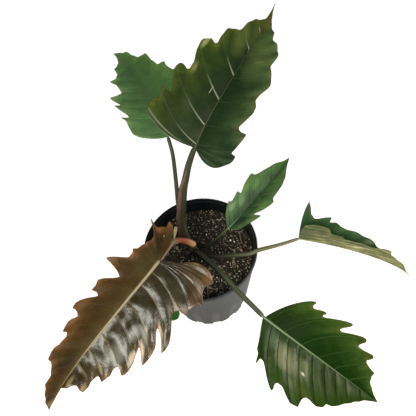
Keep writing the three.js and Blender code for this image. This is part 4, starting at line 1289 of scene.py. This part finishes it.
# Stage: white floor, plain soft light, and the camera high in front
stage = {
    "lens": 50, "sensor": 36, "eye": (0, -361.4, 818), "forward": (0.0277, 0.524, -0.8513),
    "up": (0.2146, 0.8286, 0.517),
    "worldLight": 0.2, "floorShade": 0.85, "floorGlow": 0.75, "nearGlow": 0.3, "windowTint": "#fff3e2",
    "floorSize": 6, "floorDrop": 0.4,  # half its width in m, and how far it lies below the pot in mm
    "lights": [
        # name, place and aim in mm, width and height in m, radiance
        ("left window", (-390, -620, 750), (-60, -80, 150), 0.6, 0.45, 9),
        ("right window", (490, -590, 700), (90, -120, 130), 0.5, 0.4, 5),
        ("right wall", (900, 120, 160), (0, 0, 80), 0.5, 0.25, 3),
    ],
}


def makeFloor():
    bm = bmesh.new()
    bmesh.ops.create_grid(bm, x_segments=1, y_segments=1, size=stage["floorSize"])
    bmesh.ops.translate(bm, verts=bm.verts, vec=(0, 0, -stage["floorDrop"] * mm))
    mesh = bpy.data.meshes.new("floor")
    bm.to_mesh(mesh)
    bm.free()
    material, tree, paint = startMaterial("white painted floor")
    paint.inputs["Base Color"].default_value = (*[stage["floorShade"]] * 3, 1)
    paint.inputs["Roughness"].default_value = 0.9
    paint.inputs["Emission Color"].default_value = (1, 1, 1, 1)
    path = addNode(tree, "LightPath")  # only the camera and what stands close by see the floor glow
    near = mapRange(tree, path.outputs["Ray Length"], 0.1, 0.3, stage["nearGlow"], 0)
    seen = compute(tree, "MAXIMUM", near, path.outputs["Is Camera Ray"])
    tree.links.new(compute(tree, "MULTIPLY", seen, stage["floorGlow"]), paint.inputs["Emission Strength"])
    mesh.materials.append(material)
    floor = bpy.data.objects.new("floor", mesh)
    bpy.context.scene.collection.objects.link(floor)


def makeLights():
    world = bpy.data.worlds.new("studio")
    bpy.context.scene.world = world
    world.use_nodes = True
    tree = world.node_tree
    sky = tree.nodes["Background"]
    sky.inputs[0].default_value = (1, 1, 1, 1)
    fromCamera = addNode(tree, "LightPath").outputs["Is Camera Ray"]
    tree.links.new(mapRange(tree, fromCamera, 0, 1, stage["worldLight"], 1), sky.inputs[1])
    for name, place, aim, width, height, radiance in stage["lights"]:
        lamp = bpy.data.lights.new(name, "AREA")
        lamp.shape, lamp.size, lamp.size_y = "RECTANGLE", width, height
        lamp.energy = radiance * math.pi * width * height
        lamp.color = linearColour(stage["windowTint"])[:3]
        light = bpy.data.objects.new(name, lamp)
        light.location = Vector(place) * mm
        light.rotation_mode = "QUATERNION"
        light.rotation_quaternion = (Vector(aim) - Vector(place)).to_track_quat("-Z", "Y")
        light.visible_camera = False
        bpy.context.scene.collection.objects.link(light)


def makeCamera():
    camera = bpy.data.objects.new("camera", bpy.data.cameras.new("camera"))
    camera.data.lens, camera.data.sensor_width = stage["lens"], stage["sensor"]
    forward, up = Vector(stage["forward"]).normalized(), Vector(stage["up"])
    right = forward.cross(up).normalized()
    turned = Matrix((right, right.cross(forward), -forward)).transposed().to_4x4()
    camera.matrix_world = Matrix.Translation(Vector(stage["eye"]) * mm) @ turned
    bpy.context.scene.collection.objects.link(camera)
    bpy.context.scene.camera = camera
    bpy.context.scene.view_settings.view_transform = "Standard"


makeFloor()
makeLights()
makeCamera()
print("stage made")
